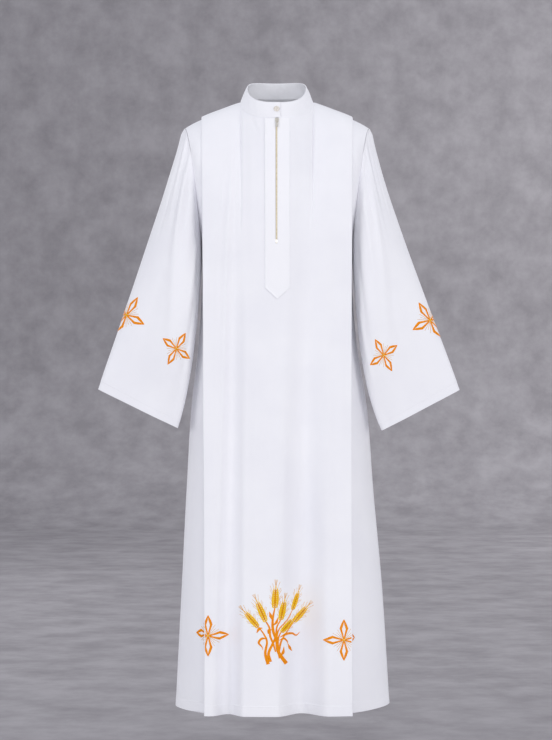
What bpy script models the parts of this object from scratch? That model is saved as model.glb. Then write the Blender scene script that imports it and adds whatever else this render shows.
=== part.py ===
"""An alb robe, worn: an ankle-length gown with wide sleeves, a stand collar and a zip at the neck.

Metres, +Z up. The front faces -Y and the viewer's right is +X. The origin lies at the neck base,
between the shoulders, where the wearer holds the robe up. Every cloth piece is a wall: a grid of
points on its middle surface, moved out and in along the surface's normals, with a rim round it.
"""

import math
from collections import namedtuple

import bmesh
import bpy
import numpy as np

FRONT, BACK = -1, 1
LEFT, RIGHT = -1, 1

# ---- driving sizes
CLOTH = 0.0016            # wall of the gown's cloth
SEAM_GAP = 0.0003         # clearance between pieces that are sewn together
HEM_Z = -1.517
UNDERARM_Z = -0.360
SHOULDER_X = 0.2315       # neck centre to the shoulder's corner
SHOULDER_Z = -0.0645
UNDERARM_X = 0.187
ARMHOLE_REACH = {FRONT: 0.072, BACK: 0.070}
ARMHOLE_HANDLE_TOP_X, ARMHOLE_HANDLE_LOW_X = 0.214, 0.1857
SEAM_SLOPE, SEAM_CURVE = 0.25, 1.00      # the shoulder seam falls by slope * d + curve * d * d
HANDLE = 4 / 3            # a cubic curve bulges to three quarters of its handles' reach

NECK_HALF = 0.090
NECK_REACH = {FRONT: 0.078, BACK: 0.068}
NECK_FRONT_DROP, NECK_FRONT_POWER = 0.044, 1.3
NECK_BACK_RISE, NECK_BACK_POWER = 0.018, 2.2
NECK_SLOPE, NECK_SLOPE_REACH = math.radians(31), 0.085   # the cloth's forward fall beside the neck
NECK_LEAN_SIDE, NECK_LEAN = 0.25, 0.86   # how far the cloth leans out beside the neck and at its middle
NECK_FALL = {FRONT: math.radians(62), BACK: math.radians(52)}
YOKE_LEAD_SIDE, YOKE_LEAD_MIDDLE = 0.072, 0.080          # how far the cloth keeps that fall
YOKE_FOOT_RISE, YOKE_FOOT_LEAN = 0.135, 0.004
PANEL_ROUND = {FRONT: (0.13, 0.06), BACK: (0.20, 0.10)}  # how the panel rounds off, at underarm and hem
PANEL_ROUND_LENGTH = 0.9

PLEAT_DEPTH = 0.045       # cloth hidden behind each pressed fold
PLEAT_RADIUS = 0.0013     # middle of the wall at a pressed fold
Angles = namedtuple("Angles", "shoulder underarm hem")   # in degrees
PLEAT_OPENING = Angles(shoulder=1.5, underarm=4, hem=58)
PLEAT_LEAVE = Angles(shoulder=4, underarm=8, hem=28)
PLEAT_TIP = (0.82, 0.57)  # the side panel's way in from its outer edge: inward and up, at the shoulder
PLEAT_CHEST = (0.45, 0.89)               # inward and forward, at the chest
PLEAT_SWELL = 1.3         # how the pleat opens on its way down to the hem
PLEAT_SWEEP = 0.36        # how far the side panel keeps its first heading, as a share of its width

COLLAR_WALL = 0.0022
COLLAR_RISE = 0.038
COLLAR_TOP_HALF = 0.0735
COLLAR_TOP_REACH = {FRONT: 0.066, BACK: 0.060}
COLLAR_BOW = 0.0012       # the band's slight swell between its edges
COLLAR_ROWS = (0.0, 0.5, 0.93, 1.0)
COLLAR_CUTS = 45
COLLAR_OVER_X, COLLAR_UNDER_X = 0.0095, -0.018   # where the upper and the lower end stop
COLLAR_SPIRAL = 0.0016    # each end's distance from the band's mean ring
COLLAR_LIFT = 0.0015      # the band's lower edge stands this far above the middle of the neckline's cloth

SLIT_HALF = 0.0035
PLACKET_LEFT, PLACKET_RIGHT = -0.0294, 0.0314
PLACKET_CORNER_Z, PLACKET_TIP_Z = -0.469, -0.4975
PLACKET_WALL = 0.0012
PLACKET_MIDWAY = 0.016    # between the slit and the placket's edges
TAPE_HALF, TAPE_WALL = 0.014, 0.0008
COIL_HALF = 0.0032
COIL_LOW, COIL_HIGH = -0.0008, 0.0014    # the coil's back and front, from the cloth's middle

SLIDER_Z = -0.0535
SLIDER_LENGTH, SLIDER_WIDE, SLIDER_NARROW, SLIDER_PLATE = 0.0135, 0.0098, 0.0068, 0.0016
BRIDGE_WIDTH, BRIDGE_LENGTH, BRIDGE_WALL, BRIDGE_ROOM = 0.0024, 0.0075, 0.0010, 0.0024
TAB_LENGTH, TAB_WIDTH, TAB_WALL, TAB_BAR = 0.0190, 0.0068, 0.0012, 0.0014
TAB_WINDOW_HALF, TAB_WINDOW_LENGTH = 0.0018, 0.0060
TAB_SHOULDER, TAB_TOE, TAB_CORNER = 0.80, 0.72, 0.0009   # the ends' widths as shares, and the corners
TAB_PLAY = 0.0006         # between the tab's bar and the bridge's inner end
TAB_HANG = TAB_BAR / 2 + TAB_PLAY        # from the bridge's inner end to the tab's axis
SLIDER_CORNER, SLIDER_WAIST = 0.0012, 0.2
POST_HALF = 0.0022        # half the width of the slider's neck
POST_TOP, POST_FOOT = -0.6, 0.5          # where the neck starts and stops, as shares of half the slider
JOIN = 0.0004             # how far two pieces of the slider run into each other
PLATE_LOW = CLOTH / 2 + SEAM_GAP + PLACKET_WALL + SEAM_GAP
PLATE_HIGH = PLATE_LOW + SLIDER_PLATE

BUTTON_RADIUS, BUTTON_EDGE, BUTTON_DOME = 0.0075, 0.0016, 0.0020
BUTTON_X, BUTTON_UP_COLLAR = -0.001, 0.52
BUTTON_FOOT, BUTTON_FOOT_RISE = 0.82, 0.0005
BUTTON_SIDES, BUTTON_DOME_RINGS = 20, (28, 55)

# The gown's sizes at each level below the armholes, the first at the underarm and the last at the hem.
Level = namedtuple("Level", "z side_left side_right edge_left edge_right front back")
LEVELS = (
    Level(z=-0.360, side_left=0.187, side_right=0.187,
          edge_left=0.182, edge_right=0.183, front=0.137, back=0.120),
    Level(z=-0.500, side_left=0.189, side_right=0.190,
          edge_left=0.181, edge_right=0.182, front=0.142, back=0.125),
    Level(z=-0.620, side_left=0.198, side_right=0.202,
          edge_left=0.180, edge_right=0.182, front=0.146, back=0.130),
    Level(z=-0.740, side_left=0.212, side_right=0.222,
          edge_left=0.180, edge_right=0.182, front=0.150, back=0.136),
    Level(z=-0.980, side_left=0.227, side_right=0.242,
          edge_left=0.178, edge_right=0.182, front=0.158, back=0.148),
    Level(z=-1.200, side_left=0.238, side_right=0.262,
          edge_left=0.177, edge_right=0.182, front=0.166, back=0.158),
    Level(z=-1.517, side_left=0.254, side_right=0.282,
          edge_left=0.176, edge_right=0.183, front=0.178, back=0.172),
)
EDGE_AT_SHOULDER = 0.188
HEM_RISE = {LEFT: 0.004, RIGHT: 0.0095}  # how far the hem rises at each side seam
HEM_RISE_POWER = 3        # how late on the way down it rises

# Soft hanging folds: troughs (negative depth) and ridges of a panel. A place is across the panel in
# metres, at the shoulder and at the hem; the two widths are the trough's sides towards -X and +X.
Fold = namedtuple("Fold", "face x_top x_hem left right chest hem")
FOLDS = (
    Fold(FRONT, x_top=-0.092, x_hem=-0.118, left=0.050, right=0.038, chest=-0.007, hem=-0.040),
    Fold(FRONT, x_top=0.086, x_hem=0.060, left=0.062, right=0.070, chest=-0.008, hem=-0.058),
    Fold(FRONT, x_top=-0.098, x_hem=-0.150, left=0.016, right=0.020, chest=0.005, hem=0.003),
    Fold(BACK, x_top=-0.060, x_hem=-0.085, left=0.050, right=0.055, chest=-0.010, hem=-0.042),
    Fold(BACK, x_top=0.000, x_hem=0.012, left=0.042, right=0.040, chest=-0.006, hem=-0.030),
    Fold(BACK, x_top=0.065, x_hem=0.100, left=0.055, right=0.046, chest=-0.011, hem=-0.046),
)
FOLD_SWELL = 1.15         # how a fold's depth grows on its way down to the hem
FOLD_NARROW = 0.75        # its width at the shoulder, as a share of its width at the hem

# Each sleeve's cuff and head, by side. The outer end is the cuff's far corner, the inner end its near one.
Cuff = namedtuple("Cuff", "outer_x outer_z inner_x inner_z")
CUFFS = {
    LEFT: Cuff(outer_x=0.4450, outer_z=-0.7196, inner_x=0.2454, inner_z=-0.8150),
    RIGHT: Cuff(outer_x=0.4546, outer_z=-0.7208, inner_x=0.2592, inner_z=-0.8212),
}
CUFF_OUTER_Y, CUFF_INNER_Y = -0.050, -0.085
CUFF_REACH = {FRONT: 0.018, BACK: 0.086}  # the front layer hangs nearly flat, and the back one is full
CUFF_FLATNESS = 0.68      # a round cuff would be 1, a boxy one nearer to 0
# How far the cloth leans out as it hangs, for each metre down: at the shoulder, the underarm and the cuff.
Leans = namedtuple("Leans", "shoulder underarm cuff_outer cuff_inner")
SLEEVE_LEAN = {
    LEFT: Leans(shoulder=0.306, underarm=0.100, cuff_outer=0.340, cuff_inner=0.300),
    RIGHT: Leans(shoulder=0.237, underarm=0.115, cuff_outer=0.350, cuff_inner=0.460),
}
HEAD_CROWD = 0.035        # how the points round the armhole crowd together at the middle of each half
Leads = namedtuple("Leads", "head_top head_underarm cuff_top cuff_underarm")
SLEEVE_LEAD = Leads(head_top=0.20, head_underarm=0.15, cuff_top=0.18, cuff_underarm=0.14)
SLEEVE_BULGE_IN, SLEEVE_BULGE_OUT = 0.06, 0.22
SLEEVE_FORWARD = 0.66     # how the underarm fold swings forward as it leaves the armhole
SLEEVE_OFF_TOP = 0.55     # the head's stand-off at the shoulder, as a share of that at the underarm
SLEEVE_CLEAR = 0.0006     # how far the whole sleeve stands off the gown's side
GATHERS, GATHER_DEPTH, GATHER_SPREAD, GATHER_FADE = 11, 0.0038, 1.25, 0.30
GATHER_POWER = 1.5        # how quickly the gathers fade down the sleeve
SEAM_REACH = 0.1          # share of the sleeve's length in which it moves from the seam's gap to its own
GATHER_START = 0.03       # share of the sleeve's length in which the gathers rise from the seam
Trough = namedtuple("Trough", "place spread depth")
SLEEVE_TROUGHS = (
    Trough(place=1.95, spread=0.62, depth=0.006),
    Trough(place=4.25, spread=0.42, depth=0.012),
    Trough(place=5.25, spread=0.36, depth=0.010),
)
TROUGH_START, TROUGH_RISE = 0.12, 0.60   # shares of the sleeve's length where the troughs begin and deepen


# ---- small helpers
def vec(x, y, z):
    return np.stack(np.broadcast_arrays(x, y, z), axis=-1).astype(float)


def unit(v):
    return v / np.maximum(np.linalg.norm(v, axis=-1, keepdims=True), 1e-12)


def mix(a, b, t):
    return a + (b - a) * t


def ease(t):
    t = np.clip(t, 0.0, 1.0)
    return t * t * (3 - 2 * t)


def bezier(p0, p1, p2, p3, t):
    t = np.asarray(t, float)[..., None]
    s = 1 - t
    return s**3 * p0 + 3 * s * s * t * p1 + 3 * s * t * t * p2 + t**3 * p3


def level(name, z):
    """One size of the gown at height z, smoothly between the levels."""
    zs = np.array([-row.z for row in LEVELS])
    values = np.array([getattr(row, name) for row in LEVELS])
    slopes = np.gradient(values, zs)
    z = np.clip(-np.asarray(z, float), zs[0], zs[-1])
    i = np.clip(np.searchsorted(zs, z) - 1, 0, len(zs) - 2)
    h = zs[i + 1] - zs[i]
    t = (z - zs[i]) / h
    rise = values[i] * (1 + 2 * t) * (1 - t) ** 2 + values[i + 1] * t * t * (3 - 2 * t)
    return rise + h * (slopes[i] * t * (1 - t) ** 2 + slopes[i + 1] * t * t * (t - 1))


# ---- the gown's surface: v runs from 0 at the shoulder to 1 at the underarm and 2 at the hem
def height(v):
    return UNDERARM_Z + (np.maximum(v, 1.0) - 1) * (HEM_Z - UNDERARM_Z)


def row_at(z):
    return 1 + (UNDERARM_Z - z) / (UNDERARM_Z - HEM_Z)


def seam_z(x):
    d = np.maximum(np.abs(x) - NECK_HALF, 0.0)
    return -(SEAM_SLOPE * d + SEAM_CURVE * d * d)


def neck_z(c):
    """The neckline's height, where c is the cosine from front (1) through side (0) to back (-1)."""
    front = -NECK_FRONT_DROP * (1 - (1 - np.clip(c, 0, 1)) ** NECK_FRONT_POWER)
    back = NECK_BACK_RISE * (1 - (1 - np.clip(-c, 0, 1)) ** NECK_BACK_POWER)
    return np.where(c >= 0, front, back)


def edge_half(side, v):
    """Half the width of the middle panel, out to its pressed edge, on one side."""
    low = level("edge_left" if side == LEFT else "edge_right", height(v))
    return np.where(v < 1, mix(EDGE_AT_SHOULDER, low, ease(v)), low)


def fold_depth(face, x, v):
    down = np.clip(v - 1, 0, 1)
    total = np.zeros(np.broadcast(x, v).shape)
    for fold in FOLDS:
        if fold.face != face:
            continue
        centre = mix(fold.x_top, fold.x_hem, v / 2)
        spread = mix(FOLD_NARROW, 1.0, v / 2)
        q = (x - centre) / (np.where(x < centre, fold.left, fold.right) * spread)
        shape = np.where(np.abs(q) < 1, np.cos(np.clip(q, -1, 1) * math.pi / 2) ** 2, 0.0)
        low = mix(fold.chest, fold.hem, down**FOLD_SWELL)
        total = total + shape * np.where(v < 1, fold.chest * ease(v), low)
    return total


def panel(face, s, v):
    """The middle panel: s runs from -1 to 1 between its pressed edges."""
    s, v = np.broadcast_arrays(np.asarray(s, float), np.asarray(v, float))
    edge = np.where(s < 0, edge_half(LEFT, v), edge_half(RIGHT, v))
    top_x = s * EDGE_AT_SHOULDER
    c = np.sqrt(np.clip(1 - (top_x / NECK_HALF) ** 2, 0, 1))
    top = vec(top_x, face * NECK_REACH[face] * c, np.where(c > 0, neck_z(-face * c), seam_z(top_x)))
    low_x = s * np.where(s < 0, level("edge_left", UNDERARM_Z), level("edge_right", UNDERARM_Z))
    size = "front" if face == FRONT else "back"
    high_round, low_round = PANEL_ROUND[face]

    def reach(z, x_over_edge):
        flat = mix(high_round, low_round, ease((UNDERARM_Z - z) / PANEL_ROUND_LENGTH))
        return level(size, z) * (1 - flat * x_over_edge**2)

    foot = vec(low_x, face * reach(UNDERARM_Z, s), UNDERARM_Z)
    beyond = ease((np.abs(top_x) - NECK_HALF) / NECK_SLOPE_REACH)
    tilt = mix(NECK_SLOPE * -face * (1 - beyond), NECK_FALL[face], ease(c))
    lead = vec(0.0, face * np.cos(tilt), -np.sin(tilt)) * mix(YOKE_LEAD_SIDE, YOKE_LEAD_MIDDLE, c)[..., None]
    rise = vec(0, -face * YOKE_FOOT_LEAN, YOKE_FOOT_RISE)
    yoke = bezier(top, top + lead, foot + rise, foot, np.clip(v, 0, 1))
    z = height(v)
    skirt = vec(s * edge, face * reach(z, s), z)
    point = np.where((v < 1)[..., None], yoke, skirt)
    x = point[..., 0]
    return point + vec(0, face, 0) * fold_depth(face, x, v)[..., None]


def armhole(face, side, t):
    """The armhole's front or back half: t runs from 0 at the shoulder's corner to 1 at the underarm."""
    reach = ARMHOLE_REACH[face] * HANDLE * face
    p0 = vec(side * SHOULDER_X, 0, SHOULDER_Z)
    p1 = vec(side * ARMHOLE_HANDLE_TOP_X, reach, SHOULDER_Z)
    p2 = vec(side * ARMHOLE_HANDLE_LOW_X, reach, UNDERARM_Z)
    p3 = vec(side * UNDERARM_X, 0, UNDERARM_Z)
    return bezier(p0, p1, p2, p3, t)


def outer_edge(face, side, v):
    """The piece's own outer edge: the armhole above the underarm, and the side seam below it."""
    z = height(v)
    name = "side_left" if side == LEFT else "side_right"
    rise = HEM_RISE[side] * np.clip(v - 1, 0, 1) ** HEM_RISE_POWER
    seam = vec(side * level(name, z), 0, z + rise)
    return np.where((v < 1)[..., None], armhole(face, side, np.clip(v, 0, 1)), seam)


def slope_along(f, q, v, dq, dv, low=-np.inf, high=np.inf):
    qa, qb = np.clip(q - dq, low, high), np.clip(q + dq, low, high)
    va, vb = np.maximum(v - dv, 0.0), np.minimum(v + dv, 2.0)
    return f(qb, vb) - f(qa, va)


STEP = 1e-4               # the small step that slopes are measured over
SEARCH_REACH, SEARCH_STEPS, SEARCH_SPAN = 0.2, 800, 16   # how a place on a surface is looked for


def pleat_opening(v):
    """The angle between the pressed edge's two layers, and the way the side panel sets out."""
    down = np.clip(v - 1, 0, 1)
    opening, leave = PLEAT_OPENING, PLEAT_LEAVE
    upper = ease(np.minimum(v, 1))
    open_low = mix(opening.underarm, opening.hem, down**PLEAT_SWELL)
    open_angle = np.where(v < 1, mix(opening.shoulder, opening.underarm, upper), open_low)
    leave_low = mix(leave.underarm, leave.hem, down)
    leave_angle = np.where(v < 1, mix(leave.shoulder, leave.underarm, upper), leave_low)
    return np.radians(open_angle), np.radians(leave_angle)


def pleat(face, side, part, q, v):
    """One pressed pleat and its side panel. part 1 is the pressed edge, 2 the return behind it, 3 the inner
    fold and 4 the side panel; q runs from 0 to 1 along each."""
    q, v = np.broadcast_arrays(np.asarray(q, float), np.asarray(v, float))

    def middle(s, w):
        return panel(face, side * s, w)

    one = np.ones_like(v)
    edge = middle(one, v)
    d = unit(slope_along(middle, one, v, STEP, 0, high=1.0))
    down = unit(slope_along(middle, one, v, 0, STEP))
    n = unit(np.cross(d, down) * side * face * -1)
    n = n * np.sign(np.sum(n * vec(0, face, 0.5), axis=-1, keepdims=True))
    opening, leave = pleat_opening(v)

    def heading(a):
        return d * np.cos(a)[..., None] - n * np.sin(a)[..., None]

    def spoke(a):
        return n * np.cos(a)[..., None] + d * np.sin(a)[..., None]

    r = PLEAT_RADIUS
    turned = math.pi - opening
    centre = edge - n * r
    if part == 1:
        return centre + r * spoke(turned * q)
    edge_end = centre + r * spoke(turned)
    if part == 2:
        return edge_end + heading(turned) * (PLEAT_DEPTH * q)[..., None]
    inner = edge_end + heading(turned) * PLEAT_DEPTH
    inner_centre = inner + r * spoke(turned)
    if part == 3:
        return inner_centre - r * spoke(mix(turned, leave, q))
    start = inner_centre - r * spoke(leave)
    end = outer_edge(face, side, v)
    length = np.linalg.norm(end - start, axis=-1, keepdims=True)
    at_tip = unit(vec(-side * PLEAT_TIP[0], 0, PLEAT_TIP[1]))
    at_chest = unit(vec(-side * PLEAT_CHEST[0], face * PLEAT_CHEST[1], 0))
    at_side = unit(vec(0, face, 0))
    upper = mix(at_tip, at_chest, ease(v / 0.5)[..., None])
    lower = mix(at_chest, at_side, ease((v - 0.5) / 0.5)[..., None])
    inward = unit(np.where((v < 0.5)[..., None], upper, lower))
    handle = length * PLEAT_SWEEP
    return bezier(start, start + heading(leave) * handle, end + inward * handle, end, q)


# ---- walls
Strip = namedtuple("Strip", "surface places low high")


def build_grid(strips, rows):
    """Points and normals of a piece from its strips, each a surface f(q, v) and the places q it is cut at."""
    points, normals = [], []
    for strip in strips:
        q, v = np.meshgrid(np.asarray(strip.places, float), np.asarray(rows, float))
        points.append(strip.surface(q, v))
        across = slope_along(strip.surface, q, v, STEP, 0, strip.low, strip.high)
        down = slope_along(strip.surface, q, v, 0, STEP)
        normals.append(unit(np.cross(across, down)))
    return np.concatenate(points, axis=1), np.concatenate(normals, axis=1)


def wall(name, points, normals, low, high, material, closed=False, keep=None):
    """A closed solid between points + low * normals and points + high * normals."""
    rows, cols = points.shape[:2]
    count = rows * cols
    outer = (points + normals * high).reshape(-1, 3)
    inner = (points + normals * low).reshape(-1, 3)
    faces, edges = [], {}
    for i in range(rows - 1):
        for j in range(cols if closed else cols - 1):
            if keep is not None and not keep(i, j):
                continue
            k = (j + 1) % cols
            quad = (i * cols + j, (i + 1) * cols + j, (i + 1) * cols + k, i * cols + k)
            faces.append(quad)
            faces.append(tuple(index + count for index in reversed(quad)))
            for a, b in zip(quad, quad[1:] + quad[:1]):
                if (b, a) in edges:
                    del edges[(b, a)]
                else:
                    edges[(a, b)] = True
    faces += [(b, a, a + count, b + count) for a, b in edges]
    mesh = bpy.data.meshes.new(name)
    mesh.from_pydata(np.concatenate([outer, inner]).tolist(), [], faces)
    used = set(index for face in faces for index in face)
    if len(used) < 2 * count:
        drop_loose(mesh)
    orient_out(mesh)
    mesh.shade_smooth()
    mesh.set_sharp_from_angle(angle=math.radians(50))
    return add_object(name, mesh, material)


def drop_loose(mesh):
    bm = bmesh.new()
    bm.from_mesh(mesh)
    bmesh.ops.delete(bm, geom=[vert for vert in bm.verts if not vert.link_faces], context="VERTS")
    bm.to_mesh(mesh)
    bm.free()


def orient_out(mesh):
    bm = bmesh.new()
    bm.from_mesh(mesh)
    bmesh.ops.recalc_face_normals(bm, faces=bm.faces)
    if bm.calc_volume(signed=True) < 0:
        bmesh.ops.reverse_faces(bm, faces=bm.faces)
    bm.to_mesh(mesh)
    bm.free()


def add_object(name, mesh, material):
    obj = bpy.data.objects.new(name, mesh)
    obj.data.materials.append(material)
    bpy.context.scene.collection.objects.link(obj)
    return obj


# ---- materials
def material(name, colour, roughness, metallic=0.0):
    made = bpy.data.materials.new(name)
    made.use_nodes = True
    shader = made.node_tree.nodes["Principled BSDF"]
    shader.inputs["Base Color"].default_value = (*colour, 1.0)
    shader.inputs["Roughness"].default_value = roughness
    shader.inputs["Metallic"].default_value = metallic
    return made


# ---- the gown's pieces
ARC = (0.25, 0.5, 0.75)
PLEAT_CUTS = {1: ARC, 2: (0.0, 0.5, 1.0), 3: ARC, 4: (0.0, 0.14, 0.3, 0.48, 0.66, 0.84, 1.0)}
HEAD_CUTS, REST_CUTS = 20, 15
ON_NECKLINE = 1.03        # points within this share of the neckline's ring belong to it
SLEEVE_ROWS = (0.0, 0.035, 0.09, 0.16, 0.25, 0.37, 0.52, 0.68, 0.84, 1.0)
ROWS = (0.0, 0.11, 0.24, 0.38, 0.52, 0.66, 0.80, 0.91, 1.0, 1.12, 1.28, 1.46, 1.64, 1.82, 2.0)


def panel_places(first, neck_count, side_count):
    """Places across half the middle panel: one near its middle, round the neckline and on to the edge."""
    turns = np.linspace(0, math.pi / 2, neck_count + 1)[1:]
    neck = list(NECK_HALF * np.sin(turns) / EDGE_AT_SHOULDER)
    outer = list(np.linspace(NECK_HALF / EDGE_AT_SHOULDER, 1.0, side_count + 1)[1:])
    return [first] + neck + outer


def gown_piece(name, face, cloth, slit):
    places = panel_places(SLIT_HALF / EDGE_AT_SHOULDER, 8, 7) if slit else panel_places(0.0, 7, 6)
    across = sorted(set([-p for p in places] + places))

    def middle(s, v):
        return panel(face, s, v)

    def side_strips(side):
        made = []
        for part, places_here in PLEAT_CUTS.items():
            def surface(q, v, part=part):
                return pleat(face, side, part, q if side == RIGHT else 1 - q, v)
            here = places_here if side == RIGHT else [1 - q for q in reversed(places_here)]
            made.append(Strip(surface, here, 0.0, 1.0))
        return made if side == RIGHT else made[::-1]

    strips = side_strips(LEFT) + [Strip(middle, across, -1.0, 1.0)] + side_strips(RIGHT)
    points, normals = build_grid(strips, ROWS)
    normals = normals * face
    flatten = np.zeros(points.shape[:2], bool)
    flatten[:, 0] = flatten[:, -1] = np.array(ROWS) >= 1.0
    flatten[0, :] = np.abs(points[0, :, 1]) < STEP
    normals[flatten, 1] = 0.0
    round_neck = np.linalg.norm(points[0, :, :2] / [NECK_HALF, NECK_REACH[face]], axis=-1) < ON_NECKLINE
    radial = unit(points[0] * [1, 1, 0])
    lean = mix(NECK_LEAN_SIDE, NECK_LEAN, np.abs(points[0, :, 1]) / NECK_REACH[face])[:, None]
    neck_normals = unit(radial * lean + vec(0, 0, 1) * np.sqrt(1 - lean**2))
    normals[0] = np.where(round_neck[:, None], neck_normals, normals[0])
    normals = unit(normals)
    points = points + np.array([0.0, face * SEAM_GAP / 2, 0.0])
    start = sum(len(strip.places) for strip in side_strips(LEFT))
    slit_column = start + across.index(-places[0]) if slit else None

    def keep(i, j):
        return not (slit and j == slit_column and ROWS[i] < 1.0)

    return wall(name, points, normals, -CLOTH / 2, CLOTH / 2, cloth, keep=keep)


def sleeve_point(side, a, w):
    """The sleeve: a goes round from the top (0) over the front to the underarm (pi) and the back; w runs
    from 0 at the armhole to 1 at the cuff."""
    a, w = np.broadcast_arrays(np.asarray(a, float), np.asarray(w, float))
    turn = np.mod(a, 2 * math.pi)
    at_front = turn <= math.pi
    t = np.where(at_front, turn, 2 * math.pi - turn) / math.pi
    t = t - HEAD_CROWD * np.sin(2 * math.pi * t)
    head = np.where(at_front[..., None], armhole(FRONT, side, t), armhole(BACK, side, t))
    cuff = CUFFS[side]
    outer_end = vec(side * cuff.outer_x, CUFF_OUTER_Y, cuff.outer_z)
    inner_end = vec(side * cuff.inner_x, CUFF_INNER_Y, cuff.inner_z)
    middle = (outer_end + inner_end) / 2
    half = (outer_end - inner_end) / 2
    swell = np.sign(np.sin(a)) * np.abs(np.sin(a)) ** CUFF_FLATNESS
    reach = np.where(swell > 0, CUFF_REACH[FRONT], CUFF_REACH[BACK])
    ring = middle + half * np.cos(a)[..., None] - vec(0, reach * swell, 0)
    inner = (1 - np.cos(a)) / 2
    lean = SLEEVE_LEAN[side]
    hang = unit(vec(side * mix(lean.cuff_outer, lean.cuff_inner, inner), 0, -1))
    setting = unit(vec(side * mix(lean.shoulder, lean.underarm, inner), 0, -1))
    forward = SLEEVE_FORWARD * inner**2 + SLEEVE_BULGE_OUT * np.sin(a)
    bulge = vec(-side * SLEEVE_BULGE_IN * inner, -forward, 0)
    lead = (setting + bulge) * mix(SLEEVE_LEAD.head_top, SLEEVE_LEAD.head_underarm, inner)[..., None]
    trail = -hang * mix(SLEEVE_LEAD.cuff_top, SLEEVE_LEAD.cuff_underarm, inner)[..., None]
    return bezier(head, head + lead, ring + trail, ring, w)


def sleeve_relief(a, w):
    """How far the cloth stands out from the plain tube: head gathers, and long soft troughs."""
    lean = np.abs(np.mod(a + math.pi, 2 * math.pi) - math.pi)
    near_top = np.clip(1 - (lean / GATHER_SPREAD) ** 2, 0, 1)
    fade = np.clip(1 - w / GATHER_FADE, 0, 1) ** GATHER_POWER * ease(w / GATHER_START)
    relief = GATHER_DEPTH * near_top * fade * np.cos(GATHERS * a + math.pi)
    for trough in SLEEVE_TROUGHS:
        q = np.clip((np.mod(a, 2 * math.pi) - trough.place) / trough.spread, -1, 1)
        sink = trough.depth * np.cos(q * math.pi / 2) ** 2
        relief = relief - sink * ease((w - TROUGH_START) / TROUGH_RISE)
    return relief


def sleeve(name, side, cloth):
    head = np.linspace(-GATHER_SPREAD, GATHER_SPREAD, HEAD_CUTS, endpoint=False)
    rest = np.linspace(GATHER_SPREAD, 2 * math.pi - GATHER_SPREAD, REST_CUTS, endpoint=False)
    a, w = np.meshgrid(np.concatenate([head, rest]), np.array(SLEEVE_ROWS))

    def plain(q, v):
        return sleeve_point(side, q, v)

    def outward(q, v):
        across = plain(q + STEP, v) - plain(q - STEP, v)
        down = plain(q, np.minimum(v + STEP, 1)) - plain(q, np.maximum(v - STEP, 0))
        return unit(np.cross(across, down)) * -side

    def full(q, v):
        return plain(q, v) + outward(q, v) * sleeve_relief(q, v)[..., None]

    across = full(a + STEP, w) - full(a - STEP, w)
    down = full(a, np.minimum(w + STEP, 1)) - full(a, np.maximum(w - STEP, 0))
    normals = unit(np.cross(across, down)) * -side
    points = full(a, w)
    inner = (1 - np.cos(a)) / 2
    lean_x = np.abs(normals[0, :, 0])[None, :]
    shift = SEAM_GAP + CLOTH * 0.5 * (lean_x + mix(SLEEVE_OFF_TOP, 1.0, inner))
    away = mix(shift, SLEEVE_CLEAR, ease(w / SEAM_REACH))
    points = points + vec(side * away, 0, 0)
    return wall(name, points, normals, -CLOTH / 2, CLOTH / 2, cloth, closed=True)


# ---- collar
def collar_point(q, h):
    """The stand collar: q runs from 0 at its upper end, at the front, to the viewer's left, round the back
    and to its lower end (1); h from 0 at the neckline to 1 at the top edge."""
    start = math.asin(COLLAR_OVER_X / NECK_HALF)
    end = 2 * math.pi - math.asin(COLLAR_UNDER_X / NECK_HALF)
    a = -mix(-start, end, np.asarray(q, float))
    c, s = np.cos(a), np.sin(a)
    spiral = mix(COLLAR_SPIRAL, -COLLAR_SPIRAL, q)
    low_reach = np.where(c > 0, NECK_REACH[FRONT], NECK_REACH[BACK])
    low = vec((NECK_HALF + spiral) * s, -(low_reach + spiral) * c, neck_z(c))
    low = low + np.array([0, 0, COLLAR_LIFT])
    top_reach = np.where(c > 0, COLLAR_TOP_REACH[FRONT], COLLAR_TOP_REACH[BACK])
    high = vec((COLLAR_TOP_HALF + spiral) * s, -(top_reach + spiral) * c, low[..., 2] + COLLAR_RISE)
    bow = COLLAR_BOW * np.sin(math.pi * h)
    return mix(low, high, np.asarray(h, float)[..., None]) + vec(s * bow, -c * bow, 0)


def collar_normal(q, h):
    across = collar_point(q + STEP, h) - collar_point(q - STEP, h)
    up = collar_point(q, h + STEP) - collar_point(q, h - STEP)
    return unit(np.cross(up, across))


def collar(cloth):
    q, h = np.meshgrid(np.linspace(0, 1, COLLAR_CUTS), np.array(COLLAR_ROWS))
    normals = collar_normal(q, h)
    normals[0, :, 2] = 0.0
    return wall("collar", collar_point(q, h), unit(normals), -COLLAR_WALL / 2, COLLAR_WALL / 2, cloth)


# ---- what lies on and in the front's slit
def on_front(x, v):
    """The front's middle surface at x metres from its centre line."""
    half = np.where(x < 0, edge_half(LEFT, v), edge_half(RIGHT, v))
    return panel(FRONT, x / half, v) + vec(0, -SEAM_GAP / 2, 0)


def front_strip(name, xs, rows_of, low, high, made_of, keep=None):
    x = np.array(xs, float)
    v = np.array([rows_of(value) for value in xs], float).T
    x = np.broadcast_to(x, v.shape)
    across = on_front(x + STEP, v) - on_front(x - STEP, v)
    down = on_front(x, v + STEP) - on_front(x, np.maximum(v - STEP, 0))
    normals = unit(np.cross(down, across))
    return wall(name, on_front(x, v), normals, low, high, made_of, keep=keep)


UPPER_ROWS = (0.016,) + ROWS[1:9]
TAPE_FOOT, COIL_FOOT = 1.015, 0.975
STOP_ROWS, STOP_PROUD = (0.9765, 0.9955), 0.0004


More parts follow.
